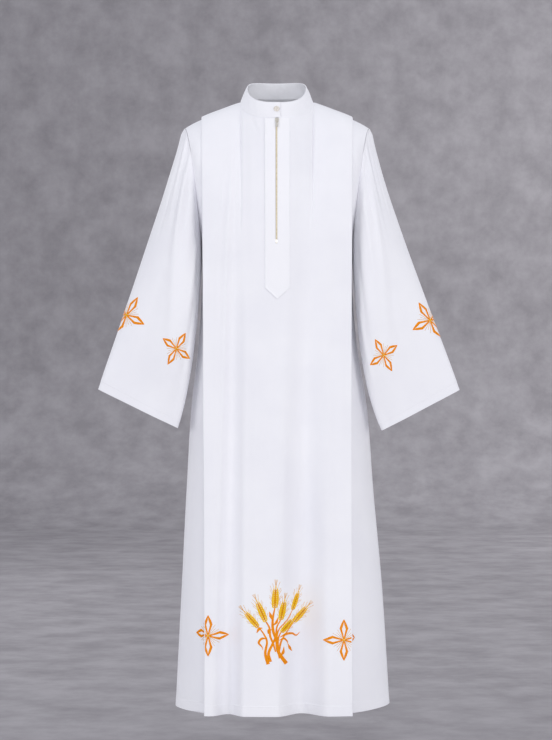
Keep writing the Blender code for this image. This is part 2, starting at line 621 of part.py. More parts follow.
def placket(cloth):
    xs = (PLACKET_LEFT, -PLACKET_MIDWAY, -SLIT_HALF, SLIT_HALF, PLACKET_MIDWAY, PLACKET_RIGHT)
    centre = (PLACKET_LEFT + PLACKET_RIGHT) / 2
    half = (PLACKET_RIGHT - PLACKET_LEFT) / 2

    def rows_of(x):
        foot = row_at(mix(PLACKET_TIP_Z, PLACKET_CORNER_Z, abs(x - centre) / half))
        return list(UPPER_ROWS) + list(np.linspace(1.0, foot, 4)[1:])

    low = CLOTH / 2 + SEAM_GAP
    return front_strip("placket", xs, rows_of, low, low + PLACKET_WALL, cloth,
                       keep=lambda i, j: not (j == 2 and i < len(UPPER_ROWS) - 1))


def zip_pieces(tape, coil, metal):
    back = -CLOTH / 2 - SEAM_GAP
    for name, side in (("zip_tape_left", LEFT), ("zip_tape_right", RIGHT)):
        xs = sorted((side * SEAM_GAP, side * TAPE_HALF))
        rows = list(UPPER_ROWS) + [TAPE_FOOT]
        front_strip(name, xs, lambda x: rows, back - TAPE_WALL, back, tape)
    coil_rows = list(UPPER_ROWS[:-1]) + [COIL_FOOT]
    front_strip("zip_coil", (-COIL_HALF, COIL_HALF), lambda x: coil_rows, COIL_LOW, COIL_HIGH, coil)
    stop_high = COIL_HIGH + STOP_PROUD
    front_strip("zip_stop", (-COIL_HALF, COIL_HALF), lambda x: STOP_ROWS, COIL_LOW, stop_high, metal)


# ---- slider and pull tab
def slider_frame():
    """Where the slider sits on the closed coil: its point, the way down the zip and the way out."""
    rows = np.linspace(0.0, SEARCH_REACH, SEARCH_STEPS)
    points = on_front(np.zeros_like(rows), rows)
    i = int(np.argmin(np.abs(points[:, 2] - SLIDER_Z)))
    down = unit(points[i + SEARCH_SPAN] - points[i - SEARCH_SPAN])
    out = unit(np.cross(down, np.array([1.0, 0.0, 0.0])))
    return points[i], down, out


def prism(name, outline, low, high, frame, made_of, window=None):
    """Extrudes an outline of (first, second) points between two heights along the frame's third axis."""
    point, first, second, third = frame
    bm = bmesh.new()

    def ring(loop, n):
        return [bm.verts.new(point + first * a + second * b + third * n) for a, b in loop]

    bottom, top = ring(outline, low), ring(outline, high)
    for k in range(len(outline)):
        m = (k + 1) % len(outline)
        bm.faces.new((bottom[k], bottom[m], top[m], top[k]))
    if window is None:
        bm.faces.new(bottom[::-1])
        bm.faces.new(top)
    else:
        hole_bottom, hole_top = ring(window, low), ring(window, high)
        for k in range(len(window)):
            m = (k + 1) % len(window)
            bm.faces.new((hole_bottom[m], hole_bottom[k], hole_top[k], hole_top[m]))
        for loops in ((bottom, hole_bottom), (top, hole_top)):
            edges = []
            for loop in loops:
                edges += [bm.edges.get((loop[k], loop[(k + 1) % len(loop)])) for k in range(len(loop))]
            bmesh.ops.triangle_fill(bm, use_beauty=True, edges=edges)
    mesh = bpy.data.meshes.new(name)
    bm.to_mesh(mesh)
    bm.free()
    orient_out(mesh)
    return add_object(name, mesh, made_of)


def rounded(points_in, radius, steps=3):
    """A polygon with its corners cut to arcs."""
    loop = []
    count = len(points_in)
    for k, corner in enumerate(points_in):
        corner = np.array(corner)
        back = unit(np.array(points_in[k - 1]) - corner)
        ahead = unit(np.array(points_in[(k + 1) % count]) - corner)
        for step in range(steps + 1):
            t = step / steps
            a, b = corner + back * radius, corner + ahead * radius
            loop.append(tuple((1 - t) ** 2 * a + 2 * t * (1 - t) * corner + t * t * b))
    return loop


def add_union(target, other):
    boolean = target.modifiers.new("join_" + other.name, "BOOLEAN")
    boolean.operation = "UNION"
    boolean.object = other
    other.hide_render = True
    other.display_type = "WIRE"


def slider(point, down, out, metal):
    """The slider's plate, the neck that reaches down to the coil and the bridge that holds the tab."""
    right = np.array([1.0, 0.0, 0.0])
    flat_frame = (point, right, down, out)
    half = SLIDER_LENGTH / 2
    wide, narrow = SLIDER_WIDE / 2, SLIDER_NARROW / 2
    waist = -half * SLIDER_WAIST
    shield = [(-wide, -half), (wide, -half), (wide, waist), (narrow, half), (-narrow, half), (-wide, waist)]
    body = prism("zip_slider", rounded(shield, SLIDER_CORNER), PLATE_LOW, PLATE_HIGH, flat_frame, metal)
    post_top, post_foot = half * POST_TOP, half * POST_FOOT
    post = [(-POST_HALF, post_top), (POST_HALF, post_top), (POST_HALF, post_foot), (-POST_HALF, post_foot)]
    neck = prism("slider_neck", post, COIL_HIGH + SEAM_GAP, PLATE_LOW + JOIN, flat_frame, metal)

    # The bridge is a side profile with a window, so it is extruded across the slider.
    side_frame = (point - right * BRIDGE_WIDTH / 2, down, out, right)
    reach, foot = BRIDGE_LENGTH / 2, PLATE_HIGH - JOIN
    inner, ceiling = reach - BRIDGE_WALL, PLATE_HIGH + BRIDGE_ROOM
    crown = ceiling + BRIDGE_WALL
    outline = rounded([(-reach, foot), (reach, foot), (reach, crown), (-reach, crown)], SEAM_GAP, 1)
    room = [(-inner, PLATE_HIGH), (inner, PLATE_HIGH), (inner, ceiling), (-inner, ceiling)]
    bridge = prism("slider_bridge", outline, 0.0, BRIDGE_WIDTH, side_frame, metal,
                   window=rounded(room, JOIN, 1))
    add_union(body, neck)
    add_union(body, bridge)


def pull_tab(point, down, out, metal):
    """The flat tab, hung on the bridge: its parent empty stands on the axis it turns about."""
    axis = point + out * (PLATE_HIGH + BRIDGE_ROOM / 2) + down * (BRIDGE_LENGTH / 2 - BRIDGE_WALL - TAB_HANG)
    tab_frame = (axis, np.array([1.0, 0.0, 0.0]), down, out)
    top, middle, foot = -TAB_BAR / 2, TAB_LENGTH / 2, TAB_LENGTH
    half = TAB_WIDTH / 2
    shoulder, toe = half * TAB_SHOULDER, half * TAB_TOE
    shape = [(-shoulder, top), (shoulder, top), (half, middle), (toe, foot), (-toe, foot), (-half, middle)]
    side, hole_top, hole_foot = TAB_WINDOW_HALF, TAB_BAR / 2, TAB_BAR / 2 + TAB_WINDOW_LENGTH
    hole = [(-side, hole_top), (side, hole_top), (side, hole_foot), (-side, hole_foot)]
    tab = prism("zip_pull_tab", rounded(shape, TAB_CORNER), -TAB_WALL / 2, TAB_WALL / 2, tab_frame, metal,
                window=rounded(hole, SEAM_GAP, 1))
    hang = bpy.data.objects.new("pull_tab_axis", None)
    hang.location = axis.tolist()
    bpy.context.scene.collection.objects.link(hang)
    bpy.context.view_layer.update()
    tab.parent = hang
    tab.matrix_parent_inverse = hang.matrix_world.inverted()


# ---- collar button
def collar_button(pearl):
    """A round button with a low dome, on the collar's upper end."""
    qs = np.linspace(0.0, SEARCH_REACH, SEARCH_STEPS)
    heights = np.full_like(qs, BUTTON_UP_COLLAR)
    spots = collar_point(qs, heights)
    i = int(np.argmin(np.abs(spots[:, 0] - BUTTON_X)))
    out = collar_normal(qs[i : i + 1], heights[i : i + 1])[0]
    right = unit(np.cross(out, np.array([0.0, 0.0, -1.0])))
    up = np.cross(right, out)
    base = spots[i] + out * (COLLAR_WALL / 2 + SEAM_GAP)
    foot = (BUTTON_RADIUS * BUTTON_FOOT, 0.0)
    rings = [foot, (BUTTON_RADIUS, BUTTON_FOOT_RISE), (BUTTON_RADIUS, BUTTON_EDGE)]
    for lift in map(math.radians, BUTTON_DOME_RINGS):
        rings.append((BUTTON_RADIUS * math.cos(lift), BUTTON_EDGE + BUTTON_DOME * math.sin(lift)))
    turns = [2 * math.pi * k / BUTTON_SIDES for k in range(BUTTON_SIDES)]
    spokes = [right * math.cos(a) + up * math.sin(a) for a in turns]
    bm = bmesh.new()
    loops = []
    for radius, n in rings:
        loops.append([bm.verts.new(base + out * n + spoke * radius) for spoke in spokes])
    crown = bm.verts.new(base + out * (BUTTON_EDGE + BUTTON_DOME))
    for k in range(BUTTON_SIDES):
        m = (k + 1) % BUTTON_SIDES
        for low, high in zip(loops, loops[1:]):
            bm.faces.new((low[k], low[m], high[m], high[k]))
        bm.faces.new((loops[-1][k], loops[-1][m], crown))
    bm.faces.new(loops[0][::-1])
    mesh = bpy.data.meshes.new("collar_button")
    bm.to_mesh(mesh)
    bm.free()
    orient_out(mesh)
    mesh.shade_smooth()
    return add_object("collar_button", mesh, pearl)


def main():
    for obj in list(bpy.data.objects):
        bpy.data.objects.remove(obj)
    cloth = material("white_cloth", (0.86, 0.86, 0.90), 0.85)
    tape = material("zip_tape", (0.82, 0.76, 0.66), 0.8)
    coil = material("zip_coil", (0.72, 0.64, 0.50), 0.5)
    metal = material("nickel", (0.72, 0.72, 0.74), 0.3, 1.0)
    pearl = material("pearl", (0.90, 0.89, 0.88), 0.25)
    gown_piece("front", FRONT, cloth, slit=True)
    gown_piece("back", BACK, cloth, slit=False)
    sleeve("sleeve_left", LEFT, cloth)
    sleeve("sleeve_right", RIGHT, cloth)
    collar(cloth)
    placket(cloth)
    zip_pieces(tape, coil, metal)
    point, down, out = slider_frame()
    slider(point, down, out, metal)
    pull_tab(point, down, out, metal)
    collar_button(pearl)


main()
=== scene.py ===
"""The looks of a white alb robe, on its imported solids: fine shells of cloth on the solids' own surfaces,
topstitching, a coil zip, a pearl button, and embroidered crosses and wheat.

Metres, +Z up; the front faces -Y and the viewer's right is +X. A place on the gown is (s, v) or (x, v),
and one on a sleeve is (a, w), as the functions below say.
"""

import math
from collections import namedtuple
from functools import partial

import bpy
import numpy as np
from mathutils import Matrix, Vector


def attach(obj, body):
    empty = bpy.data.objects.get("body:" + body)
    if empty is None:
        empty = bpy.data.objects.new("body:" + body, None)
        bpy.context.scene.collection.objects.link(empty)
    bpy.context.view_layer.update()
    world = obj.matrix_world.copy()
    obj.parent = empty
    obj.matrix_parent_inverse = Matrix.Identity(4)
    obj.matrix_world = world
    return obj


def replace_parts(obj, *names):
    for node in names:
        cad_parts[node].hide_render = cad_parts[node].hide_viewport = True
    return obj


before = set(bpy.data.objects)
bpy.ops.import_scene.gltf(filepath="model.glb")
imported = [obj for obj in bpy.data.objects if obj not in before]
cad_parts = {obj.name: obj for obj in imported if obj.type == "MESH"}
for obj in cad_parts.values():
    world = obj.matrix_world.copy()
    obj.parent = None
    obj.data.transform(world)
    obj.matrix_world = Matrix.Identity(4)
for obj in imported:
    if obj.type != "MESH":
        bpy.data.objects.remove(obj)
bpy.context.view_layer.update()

FRONT, BACK = -1, 1
LEFT, RIGHT = -1, 1

# ---- driving sizes
CLOTH = 0.0016            # wall of the gown's cloth
SEAM_GAP = 0.0003         # clearance between pieces that are sewn together
HEM_Z = -1.517
UNDERARM_Z = -0.360
SHOULDER_X = 0.2315       # neck centre to the shoulder's corner
SHOULDER_Z = -0.0645
UNDERARM_X = 0.187
ARMHOLE_REACH = {FRONT: 0.072, BACK: 0.070}
ARMHOLE_HANDLE_TOP_X, ARMHOLE_HANDLE_LOW_X = 0.214, 0.1857
SEAM_SLOPE, SEAM_CURVE = 0.25, 1.00      # the shoulder seam falls by slope * d + curve * d * d
HANDLE = 4 / 3            # a cubic curve bulges to three quarters of its handles' reach

NECK_HALF = 0.090
NECK_REACH = {FRONT: 0.078, BACK: 0.068}
NECK_FRONT_DROP, NECK_FRONT_POWER = 0.044, 1.3
NECK_BACK_RISE, NECK_BACK_POWER = 0.018, 2.2
NECK_SLOPE, NECK_SLOPE_REACH = math.radians(31), 0.085   # the cloth's forward fall beside the neck
NECK_LEAN_SIDE, NECK_LEAN = 0.25, 0.86   # how far the cloth leans out beside the neck and at its middle
NECK_FALL = {FRONT: math.radians(62), BACK: math.radians(52)}
YOKE_LEAD_SIDE, YOKE_LEAD_MIDDLE = 0.072, 0.080          # how far the cloth keeps that fall
YOKE_FOOT_RISE, YOKE_FOOT_LEAN = 0.135, 0.004
PANEL_ROUND = {FRONT: (0.13, 0.06), BACK: (0.20, 0.10)}  # how the panel rounds off, at underarm and hem
PANEL_ROUND_LENGTH = 0.9

PLEAT_DEPTH = 0.045       # cloth hidden behind each pressed fold
PLEAT_RADIUS = 0.0013     # middle of the wall at a pressed fold
Angles = namedtuple("Angles", "shoulder underarm hem")   # in degrees
PLEAT_OPENING = Angles(shoulder=1.5, underarm=4, hem=58)
PLEAT_LEAVE = Angles(shoulder=4, underarm=8, hem=28)
PLEAT_TIP = (0.82, 0.57)  # the side panel's way in from its outer edge: inward and up, at the shoulder
PLEAT_CHEST = (0.45, 0.89)               # inward and forward, at the chest
PLEAT_SWELL = 1.3         # how the pleat opens on its way down to the hem
PLEAT_SWEEP = 0.36        # how far the side panel keeps its first heading, as a share of its width

COLLAR_WALL = 0.0022
COLLAR_RISE = 0.038
COLLAR_TOP_HALF = 0.0735
COLLAR_TOP_REACH = {FRONT: 0.066, BACK: 0.060}
COLLAR_BOW = 0.0012       # the band's slight swell between its edges
COLLAR_OVER_X, COLLAR_UNDER_X = 0.0095, -0.018   # where the upper and the lower end stop
COLLAR_SPIRAL = 0.0016    # each end's distance from the band's mean ring
COLLAR_LIFT = 0.0015      # the band's lower edge stands this far above the middle of the neckline's cloth

SLIT_HALF = 0.0035
PLACKET_LEFT, PLACKET_RIGHT = -0.0294, 0.0314
PLACKET_CORNER_Z, PLACKET_TIP_Z = -0.469, -0.4975
PLACKET_WALL = 0.0012
COIL_HALF = 0.0032
COIL_LOW, COIL_HIGH = -0.0008, 0.0014    # the coil's back and front, from the cloth's middle

BUTTON_RADIUS, BUTTON_EDGE, BUTTON_DOME = 0.0075, 0.0016, 0.0020
BUTTON_X, BUTTON_UP_COLLAR = -0.001, 0.52
BUTTON_FOOT = 0.82        # its back, as a share of its radius

# The gown's sizes at each level below the armholes, the first at the underarm and the last at the hem.
Level = namedtuple("Level", "z side_left side_right edge_left edge_right front back")
LEVELS = [Level(*row) for row in (
    (-0.360, 0.187, 0.187, 0.182, 0.183, 0.137, 0.120),
    (-0.500, 0.189, 0.190, 0.181, 0.182, 0.142, 0.125),
    (-0.620, 0.198, 0.202, 0.180, 0.182, 0.146, 0.130),
    (-0.740, 0.212, 0.222, 0.180, 0.182, 0.150, 0.136),
    (-0.980, 0.227, 0.242, 0.178, 0.182, 0.158, 0.148),
    (-1.200, 0.238, 0.262, 0.177, 0.182, 0.166, 0.158),
    (-1.517, 0.254, 0.282, 0.176, 0.183, 0.178, 0.172),
)]
EDGE_AT_SHOULDER = 0.188
HEM_RISE = {LEFT: 0.004, RIGHT: 0.0095}  # how far the hem rises at each side seam
HEM_RISE_POWER = 3        # how late on the way down it rises

# Soft hanging folds: troughs (negative depth) and ridges of a panel, in millimetres. A place is across the
# panel, at the shoulder and at the hem; the two widths are the trough's sides towards -X and +X.
Fold = namedtuple("Fold", "face x_top x_hem left right chest hem")
FOLDS = [Fold(row[0], *(size / 1000 for size in row[1:])) for row in (
    (FRONT, -92, -118, 50, 38, -7, -40),
    (FRONT, 86, 60, 62, 70, -8, -58),
    (FRONT, -98, -150, 16, 20, 5, 3),
    (BACK, -60, -85, 50, 55, -10, -42),
    (BACK, 0, 12, 42, 40, -6, -30),
    (BACK, 65, 100, 55, 46, -11, -46),
)]
FOLD_SWELL = 1.15         # how a fold's depth grows on its way down to the hem
FOLD_NARROW = 0.75        # its width at the shoulder, as a share of its width at the hem

# Each sleeve's cuff and head, by side. The outer end is the cuff's far corner, the inner end its near one.
Cuff = namedtuple("Cuff", "outer_x outer_z inner_x inner_z")
CUFFS = {
    LEFT: Cuff(outer_x=0.4450, outer_z=-0.7196, inner_x=0.2454, inner_z=-0.8150),
    RIGHT: Cuff(outer_x=0.4546, outer_z=-0.7208, inner_x=0.2592, inner_z=-0.8212),
}
CUFF_OUTER_Y, CUFF_INNER_Y = -0.050, -0.085
CUFF_REACH = {FRONT: 0.018, BACK: 0.086}  # the front layer hangs nearly flat, and the back one is full
CUFF_FLATNESS = 0.68      # a round cuff would be 1, a boxy one nearer to 0
# How far the cloth leans out as it hangs, for each metre down: at the shoulder, the underarm and the cuff.
Leans = namedtuple("Leans", "shoulder underarm cuff_outer cuff_inner")
SLEEVE_LEAN = {
    LEFT: Leans(shoulder=0.306, underarm=0.100, cuff_outer=0.340, cuff_inner=0.300),
    RIGHT: Leans(shoulder=0.237, underarm=0.115, cuff_outer=0.350, cuff_inner=0.460),
}
HEAD_CROWD = 0.035        # how the points round the armhole crowd together at the middle of each half
Leads = namedtuple("Leads", "head_top head_underarm cuff_top cuff_underarm")
SLEEVE_LEAD = Leads(head_top=0.20, head_underarm=0.15, cuff_top=0.18, cuff_underarm=0.14)
SLEEVE_BULGE_IN, SLEEVE_BULGE_OUT = 0.06, 0.22
SLEEVE_FORWARD = 0.66     # how the underarm fold swings forward as it leaves the armhole
SLEEVE_CLEAR = 0.0006     # how far the whole sleeve stands off the gown's side
GATHERS, GATHER_DEPTH, GATHER_SPREAD, GATHER_FADE = 11, 0.0038, 1.25, 0.30
GATHER_POWER = 1.5        # how quickly the gathers fade down the sleeve
SEAM_REACH = 0.1          # share of the sleeve's length in which it moves from the seam's gap to its own
GATHER_START = 0.03       # share of the sleeve's length in which the gathers rise from the seam
Trough = namedtuple("Trough", "place spread depth")
SLEEVE_TROUGHS = [Trough(*row) for row in ((1.95, 0.62, 0.006), (4.25, 0.42, 0.012), (5.25, 0.36, 0.01))]
TROUGH_START, TROUGH_RISE = 0.12, 0.60   # shares of the sleeve's length where the troughs begin and deepen


# ---- small helpers
def vec(x, y, z):
    return np.stack(np.broadcast_arrays(x, y, z), axis=-1).astype(float)


def unit(v):
    return v / np.maximum(np.linalg.norm(v, axis=-1, keepdims=True), 1e-12)


def mix(a, b, t):
    return a + (b - a) * t


def ease(t):
    t = np.clip(t, 0.0, 1.0)
    return t * t * (3 - 2 * t)


def bezier(p0, p1, p2, p3, t):
    t = np.asarray(t, float)[..., None]
    s = 1 - t
    return s**3 * p0 + 3 * s * s * t * p1 + 3 * s * t * t * p2 + t**3 * p3


def level(name, z):
    """One size of the gown at height z, smoothly between the levels."""
    zs = np.array([-row.z for row in LEVELS])
    values = np.array([getattr(row, name) for row in LEVELS])
    slopes = np.gradient(values, zs)
    z = np.clip(-np.asarray(z, float), zs[0], zs[-1])
    i = np.clip(np.searchsorted(zs, z) - 1, 0, len(zs) - 2)
    h = zs[i + 1] - zs[i]
    t = (z - zs[i]) / h
    rise = values[i] * (1 + 2 * t) * (1 - t) ** 2 + values[i + 1] * t * t * (3 - 2 * t)
    return rise + h * (slopes[i] * t * (1 - t) ** 2 + slopes[i + 1] * t * t * (t - 1))


# ---- the gown's surface: v runs from 0 at the shoulder to 1 at the underarm and 2 at the hem
def height(v):
    return UNDERARM_Z + (np.maximum(v, 1.0) - 1) * (HEM_Z - UNDERARM_Z)


def row_at(z):
    return 1 + (UNDERARM_Z - z) / (UNDERARM_Z - HEM_Z)


def seam_z(x):
    d = np.maximum(np.abs(x) - NECK_HALF, 0.0)
    return -(SEAM_SLOPE * d + SEAM_CURVE * d * d)


def neck_z(c):
    """The neckline's height, where c is the cosine from front (1) through side (0) to back (-1)."""
    front = -NECK_FRONT_DROP * (1 - (1 - np.clip(c, 0, 1)) ** NECK_FRONT_POWER)
    back = NECK_BACK_RISE * (1 - (1 - np.clip(-c, 0, 1)) ** NECK_BACK_POWER)
    return np.where(c >= 0, front, back)


def edge_half(side, v):
    """Half the width of the middle panel, out to its pressed edge, on one side."""
    low = level("edge_left" if side == LEFT else "edge_right", height(v))
    return np.where(v < 1, mix(EDGE_AT_SHOULDER, low, ease(v)), low)


def fold_depth(face, x, v):
    down = np.clip(v - 1, 0, 1)
    total = np.zeros(np.broadcast(x, v).shape)
    for fold in FOLDS:
        if fold.face != face:
            continue
        centre = mix(fold.x_top, fold.x_hem, v / 2)
        spread = mix(FOLD_NARROW, 1.0, v / 2)
        q = (x - centre) / (np.where(x < centre, fold.left, fold.right) * spread)
        shape = np.where(np.abs(q) < 1, np.cos(np.clip(q, -1, 1) * math.pi / 2) ** 2, 0.0)
        low = mix(fold.chest, fold.hem, down**FOLD_SWELL)
        total = total + shape * np.where(v < 1, fold.chest * ease(v), low)
    return total


def panel(face, s, v):
    """The middle panel: s runs from -1 to 1 between its pressed edges."""
    s, v = np.broadcast_arrays(np.asarray(s, float), np.asarray(v, float))
    edge = np.where(s < 0, edge_half(LEFT, v), edge_half(RIGHT, v))
    top_x = s * EDGE_AT_SHOULDER
    c = np.sqrt(np.clip(1 - (top_x / NECK_HALF) ** 2, 0, 1))
    top = vec(top_x, face * NECK_REACH[face] * c, np.where(c > 0, neck_z(-face * c), seam_z(top_x)))
    low_x = s * np.where(s < 0, level("edge_left", UNDERARM_Z), level("edge_right", UNDERARM_Z))
    size = "front" if face == FRONT else "back"
    high_round, low_round = PANEL_ROUND[face]

    def reach(z, x_over_edge):
        flat = mix(high_round, low_round, ease((UNDERARM_Z - z) / PANEL_ROUND_LENGTH))
        return level(size, z) * (1 - flat * x_over_edge**2)

    foot = vec(low_x, face * reach(UNDERARM_Z, s), UNDERARM_Z)
    beyond = ease((np.abs(top_x) - NECK_HALF) / NECK_SLOPE_REACH)
    tilt = mix(NECK_SLOPE * -face * (1 - beyond), NECK_FALL[face], ease(c))
    lead = vec(0.0, face * np.cos(tilt), -np.sin(tilt)) * mix(YOKE_LEAD_SIDE, YOKE_LEAD_MIDDLE, c)[..., None]
    rise = vec(0, -face * YOKE_FOOT_LEAN, YOKE_FOOT_RISE)
    yoke = bezier(top, top + lead, foot + rise, foot, np.clip(v, 0, 1))
    z = height(v)
    skirt = vec(s * edge, face * reach(z, s), z)
    point = np.where((v < 1)[..., None], yoke, skirt)
    x = point[..., 0]
    return point + vec(0, face, 0) * fold_depth(face, x, v)[..., None]


def armhole(face, side, t):
    """The armhole's front or back half: t runs from 0 at the shoulder's corner to 1 at the underarm."""
    reach = ARMHOLE_REACH[face] * HANDLE * face
    p0 = vec(side * SHOULDER_X, 0, SHOULDER_Z)
    p1 = vec(side * ARMHOLE_HANDLE_TOP_X, reach, SHOULDER_Z)
    p2 = vec(side * ARMHOLE_HANDLE_LOW_X, reach, UNDERARM_Z)
    p3 = vec(side * UNDERARM_X, 0, UNDERARM_Z)
    return bezier(p0, p1, p2, p3, t)


def outer_edge(face, side, v):
    """The piece's own outer edge: the armhole above the underarm, and the side seam below it."""
    z = height(v)
    name = "side_left" if side == LEFT else "side_right"
    rise = HEM_RISE[side] * np.clip(v - 1, 0, 1) ** HEM_RISE_POWER
    seam = vec(side * level(name, z), 0, z + rise)
    return np.where((v < 1)[..., None], armhole(face, side, np.clip(v, 0, 1)), seam)


def slope_along(f, q, v, dq, dv, low=-np.inf, high=np.inf):
    qa, qb = np.clip(q - dq, low, high), np.clip(q + dq, low, high)
    va, vb = np.maximum(v - dv, 0.0), np.minimum(v + dv, 2.0)
    return f(qb, vb) - f(qa, va)


def surface_normal(surface, p, q, low=-np.inf, high=np.inf):
    """The normal of a surface f(p, q), where q stays between low and high."""
    across = surface(p + STEP, q) - surface(p - STEP, q)
    down = surface(p, np.minimum(q + STEP, high)) - surface(p, np.maximum(q - STEP, low))
    return unit(np.cross(across, down))


STEP = 1e-4               # the small step that slopes are measured over
NEARLY = 1e-9             # less than any real distance between rows


def pleat_opening(v):
    """The angle between the pressed edge's two layers, and the way the side panel sets out."""
    down = np.clip(v - 1, 0, 1)
    opening, leave = PLEAT_OPENING, PLEAT_LEAVE
    upper = ease(np.minimum(v, 1))
    open_low = mix(opening.underarm, opening.hem, down**PLEAT_SWELL)
    open_angle = np.where(v < 1, mix(opening.shoulder, opening.underarm, upper), open_low)
    leave_low = mix(leave.underarm, leave.hem, down)
    leave_angle = np.where(v < 1, mix(leave.shoulder, leave.underarm, upper), leave_low)
    return np.radians(open_angle), np.radians(leave_angle)


def pleat(face, side, part, q, v):
    """One pressed pleat and its side panel. part 1 is the pressed edge, 2 the return behind it, 3 the inner
    fold and 4 the side panel; q runs from 0 to 1 along each."""
    q, v = np.broadcast_arrays(np.asarray(q, float), np.asarray(v, float))

    def middle(s, w):
        return panel(face, side * s, w)

    one = np.ones_like(v)
    edge = middle(one, v)
    d = unit(slope_along(middle, one, v, STEP, 0, high=1.0))
    down = unit(slope_along(middle, one, v, 0, STEP))
    n = unit(np.cross(d, down) * side * face * -1)
    n = n * np.sign(np.sum(n * vec(0, face, 0.5), axis=-1, keepdims=True))
    opening, leave = pleat_opening(v)

    def heading(a):
        return d * np.cos(a)[..., None] - n * np.sin(a)[..., None]

    def spoke(a):
        return n * np.cos(a)[..., None] + d * np.sin(a)[..., None]

    r = PLEAT_RADIUS
    turned = math.pi - opening
    centre = edge - n * r
    if part == 1:
        return centre + r * spoke(turned * q)
    edge_end = centre + r * spoke(turned)
    if part == 2:
        return edge_end + heading(turned) * (PLEAT_DEPTH * q)[..., None]
    inner = edge_end + heading(turned) * PLEAT_DEPTH
    inner_centre = inner + r * spoke(turned)
    if part == 3:
        return inner_centre - r * spoke(mix(turned, leave, q))
    start = inner_centre - r * spoke(leave)
    end = outer_edge(face, side, v)
    length = np.linalg.norm(end - start, axis=-1, keepdims=True)
    at_tip = unit(vec(-side * PLEAT_TIP[0], 0, PLEAT_TIP[1]))
    at_chest = unit(vec(-side * PLEAT_CHEST[0], face * PLEAT_CHEST[1], 0))
    at_side = unit(vec(0, face, 0))
    upper = mix(at_tip, at_chest, ease(v / 0.5)[..., None])
    lower = mix(at_chest, at_side, ease((v - 0.5) / 0.5)[..., None])
    inward = unit(np.where((v < 0.5)[..., None], upper, lower))
    handle = length * PLEAT_SWEEP
    return bezier(start, start + heading(leave) * handle, end + inward * handle, end, q)


Strip = namedtuple("Strip", "surface places low high")


def build_grid(strips, rows):
    """Points and normals of a piece from its strips, each a surface f(q, v) and the places q it is cut at."""
    points, normals = [], []
    for strip in strips:
        q, v = np.meshgrid(np.asarray(strip.places, float), np.asarray(rows, float))
        points.append(strip.surface(q, v))
        across = slope_along(strip.surface, q, v, STEP, 0, strip.low, strip.high)
        down = slope_along(strip.surface, q, v, 0, STEP)
        normals.append(unit(np.cross(across, down)))
    return np.concatenate(points, axis=1), np.concatenate(normals, axis=1)


def panel_places(first, neck_count, side_count):
    """Places across half the middle panel: one near its middle, round the neckline and on to the edge."""
    turns = np.linspace(0, math.pi / 2, neck_count + 1)[1:]
    neck = list(NECK_HALF * np.sin(turns) / EDGE_AT_SHOULDER)
    outer = list(np.linspace(NECK_HALF / EDGE_AT_SHOULDER, 1.0, side_count + 1)[1:])
    return [first] + neck + outer


def sleeve_point(side, a, w):
    """The sleeve: a goes round from the top (0) over the front to the underarm (pi) and the back; w runs
    from 0 at the armhole to 1 at the cuff."""
    a, w = np.broadcast_arrays(np.asarray(a, float), np.asarray(w, float))
    turn = np.mod(a, 2 * math.pi)
    at_front = turn <= math.pi
    t = np.where(at_front, turn, 2 * math.pi - turn) / math.pi
    t = t - HEAD_CROWD * np.sin(2 * math.pi * t)
    head = np.where(at_front[..., None], armhole(FRONT, side, t), armhole(BACK, side, t))
    cuff = CUFFS[side]
    outer_end = vec(side * cuff.outer_x, CUFF_OUTER_Y, cuff.outer_z)
    inner_end = vec(side * cuff.inner_x, CUFF_INNER_Y, cuff.inner_z)
    middle = (outer_end + inner_end) / 2
    half = (outer_end - inner_end) / 2
    swell = np.sign(np.sin(a)) * np.abs(np.sin(a)) ** CUFF_FLATNESS
    reach = np.where(swell > 0, CUFF_REACH[FRONT], CUFF_REACH[BACK])
    ring = middle + half * np.cos(a)[..., None] - vec(0, reach * swell, 0)
    inner = (1 - np.cos(a)) / 2
    lean = SLEEVE_LEAN[side]
    hang = unit(vec(side * mix(lean.cuff_outer, lean.cuff_inner, inner), 0, -1))
    setting = unit(vec(side * mix(lean.shoulder, lean.underarm, inner), 0, -1))
    forward = SLEEVE_FORWARD * inner**2 + SLEEVE_BULGE_OUT * np.sin(a)
    bulge = vec(-side * SLEEVE_BULGE_IN * inner, -forward, 0)
    lead = (setting + bulge) * mix(SLEEVE_LEAD.head_top, SLEEVE_LEAD.head_underarm, inner)[..., None]
    trail = -hang * mix(SLEEVE_LEAD.cuff_top, SLEEVE_LEAD.cuff_underarm, inner)[..., None]
    return bezier(head, head + lead, ring + trail, ring, w)


def sleeve_relief(a, w):
    """How far the cloth stands out from the plain tube: head gathers, and long soft troughs."""
    lean = np.abs(np.mod(a + math.pi, 2 * math.pi) - math.pi)
    near_top = np.clip(1 - (lean / GATHER_SPREAD) ** 2, 0, 1)
    fade = np.clip(1 - w / GATHER_FADE, 0, 1) ** GATHER_POWER * ease(w / GATHER_START)
    relief = GATHER_DEPTH * near_top * fade * np.cos(GATHERS * a + math.pi)
    for trough in SLEEVE_TROUGHS:
        q = np.clip((np.mod(a, 2 * math.pi) - trough.place) / trough.spread, -1, 1)
        sink = trough.depth * np.cos(q * math.pi / 2) ** 2
        relief = relief - sink * ease((w - TROUGH_START) / TROUGH_RISE)
    return relief


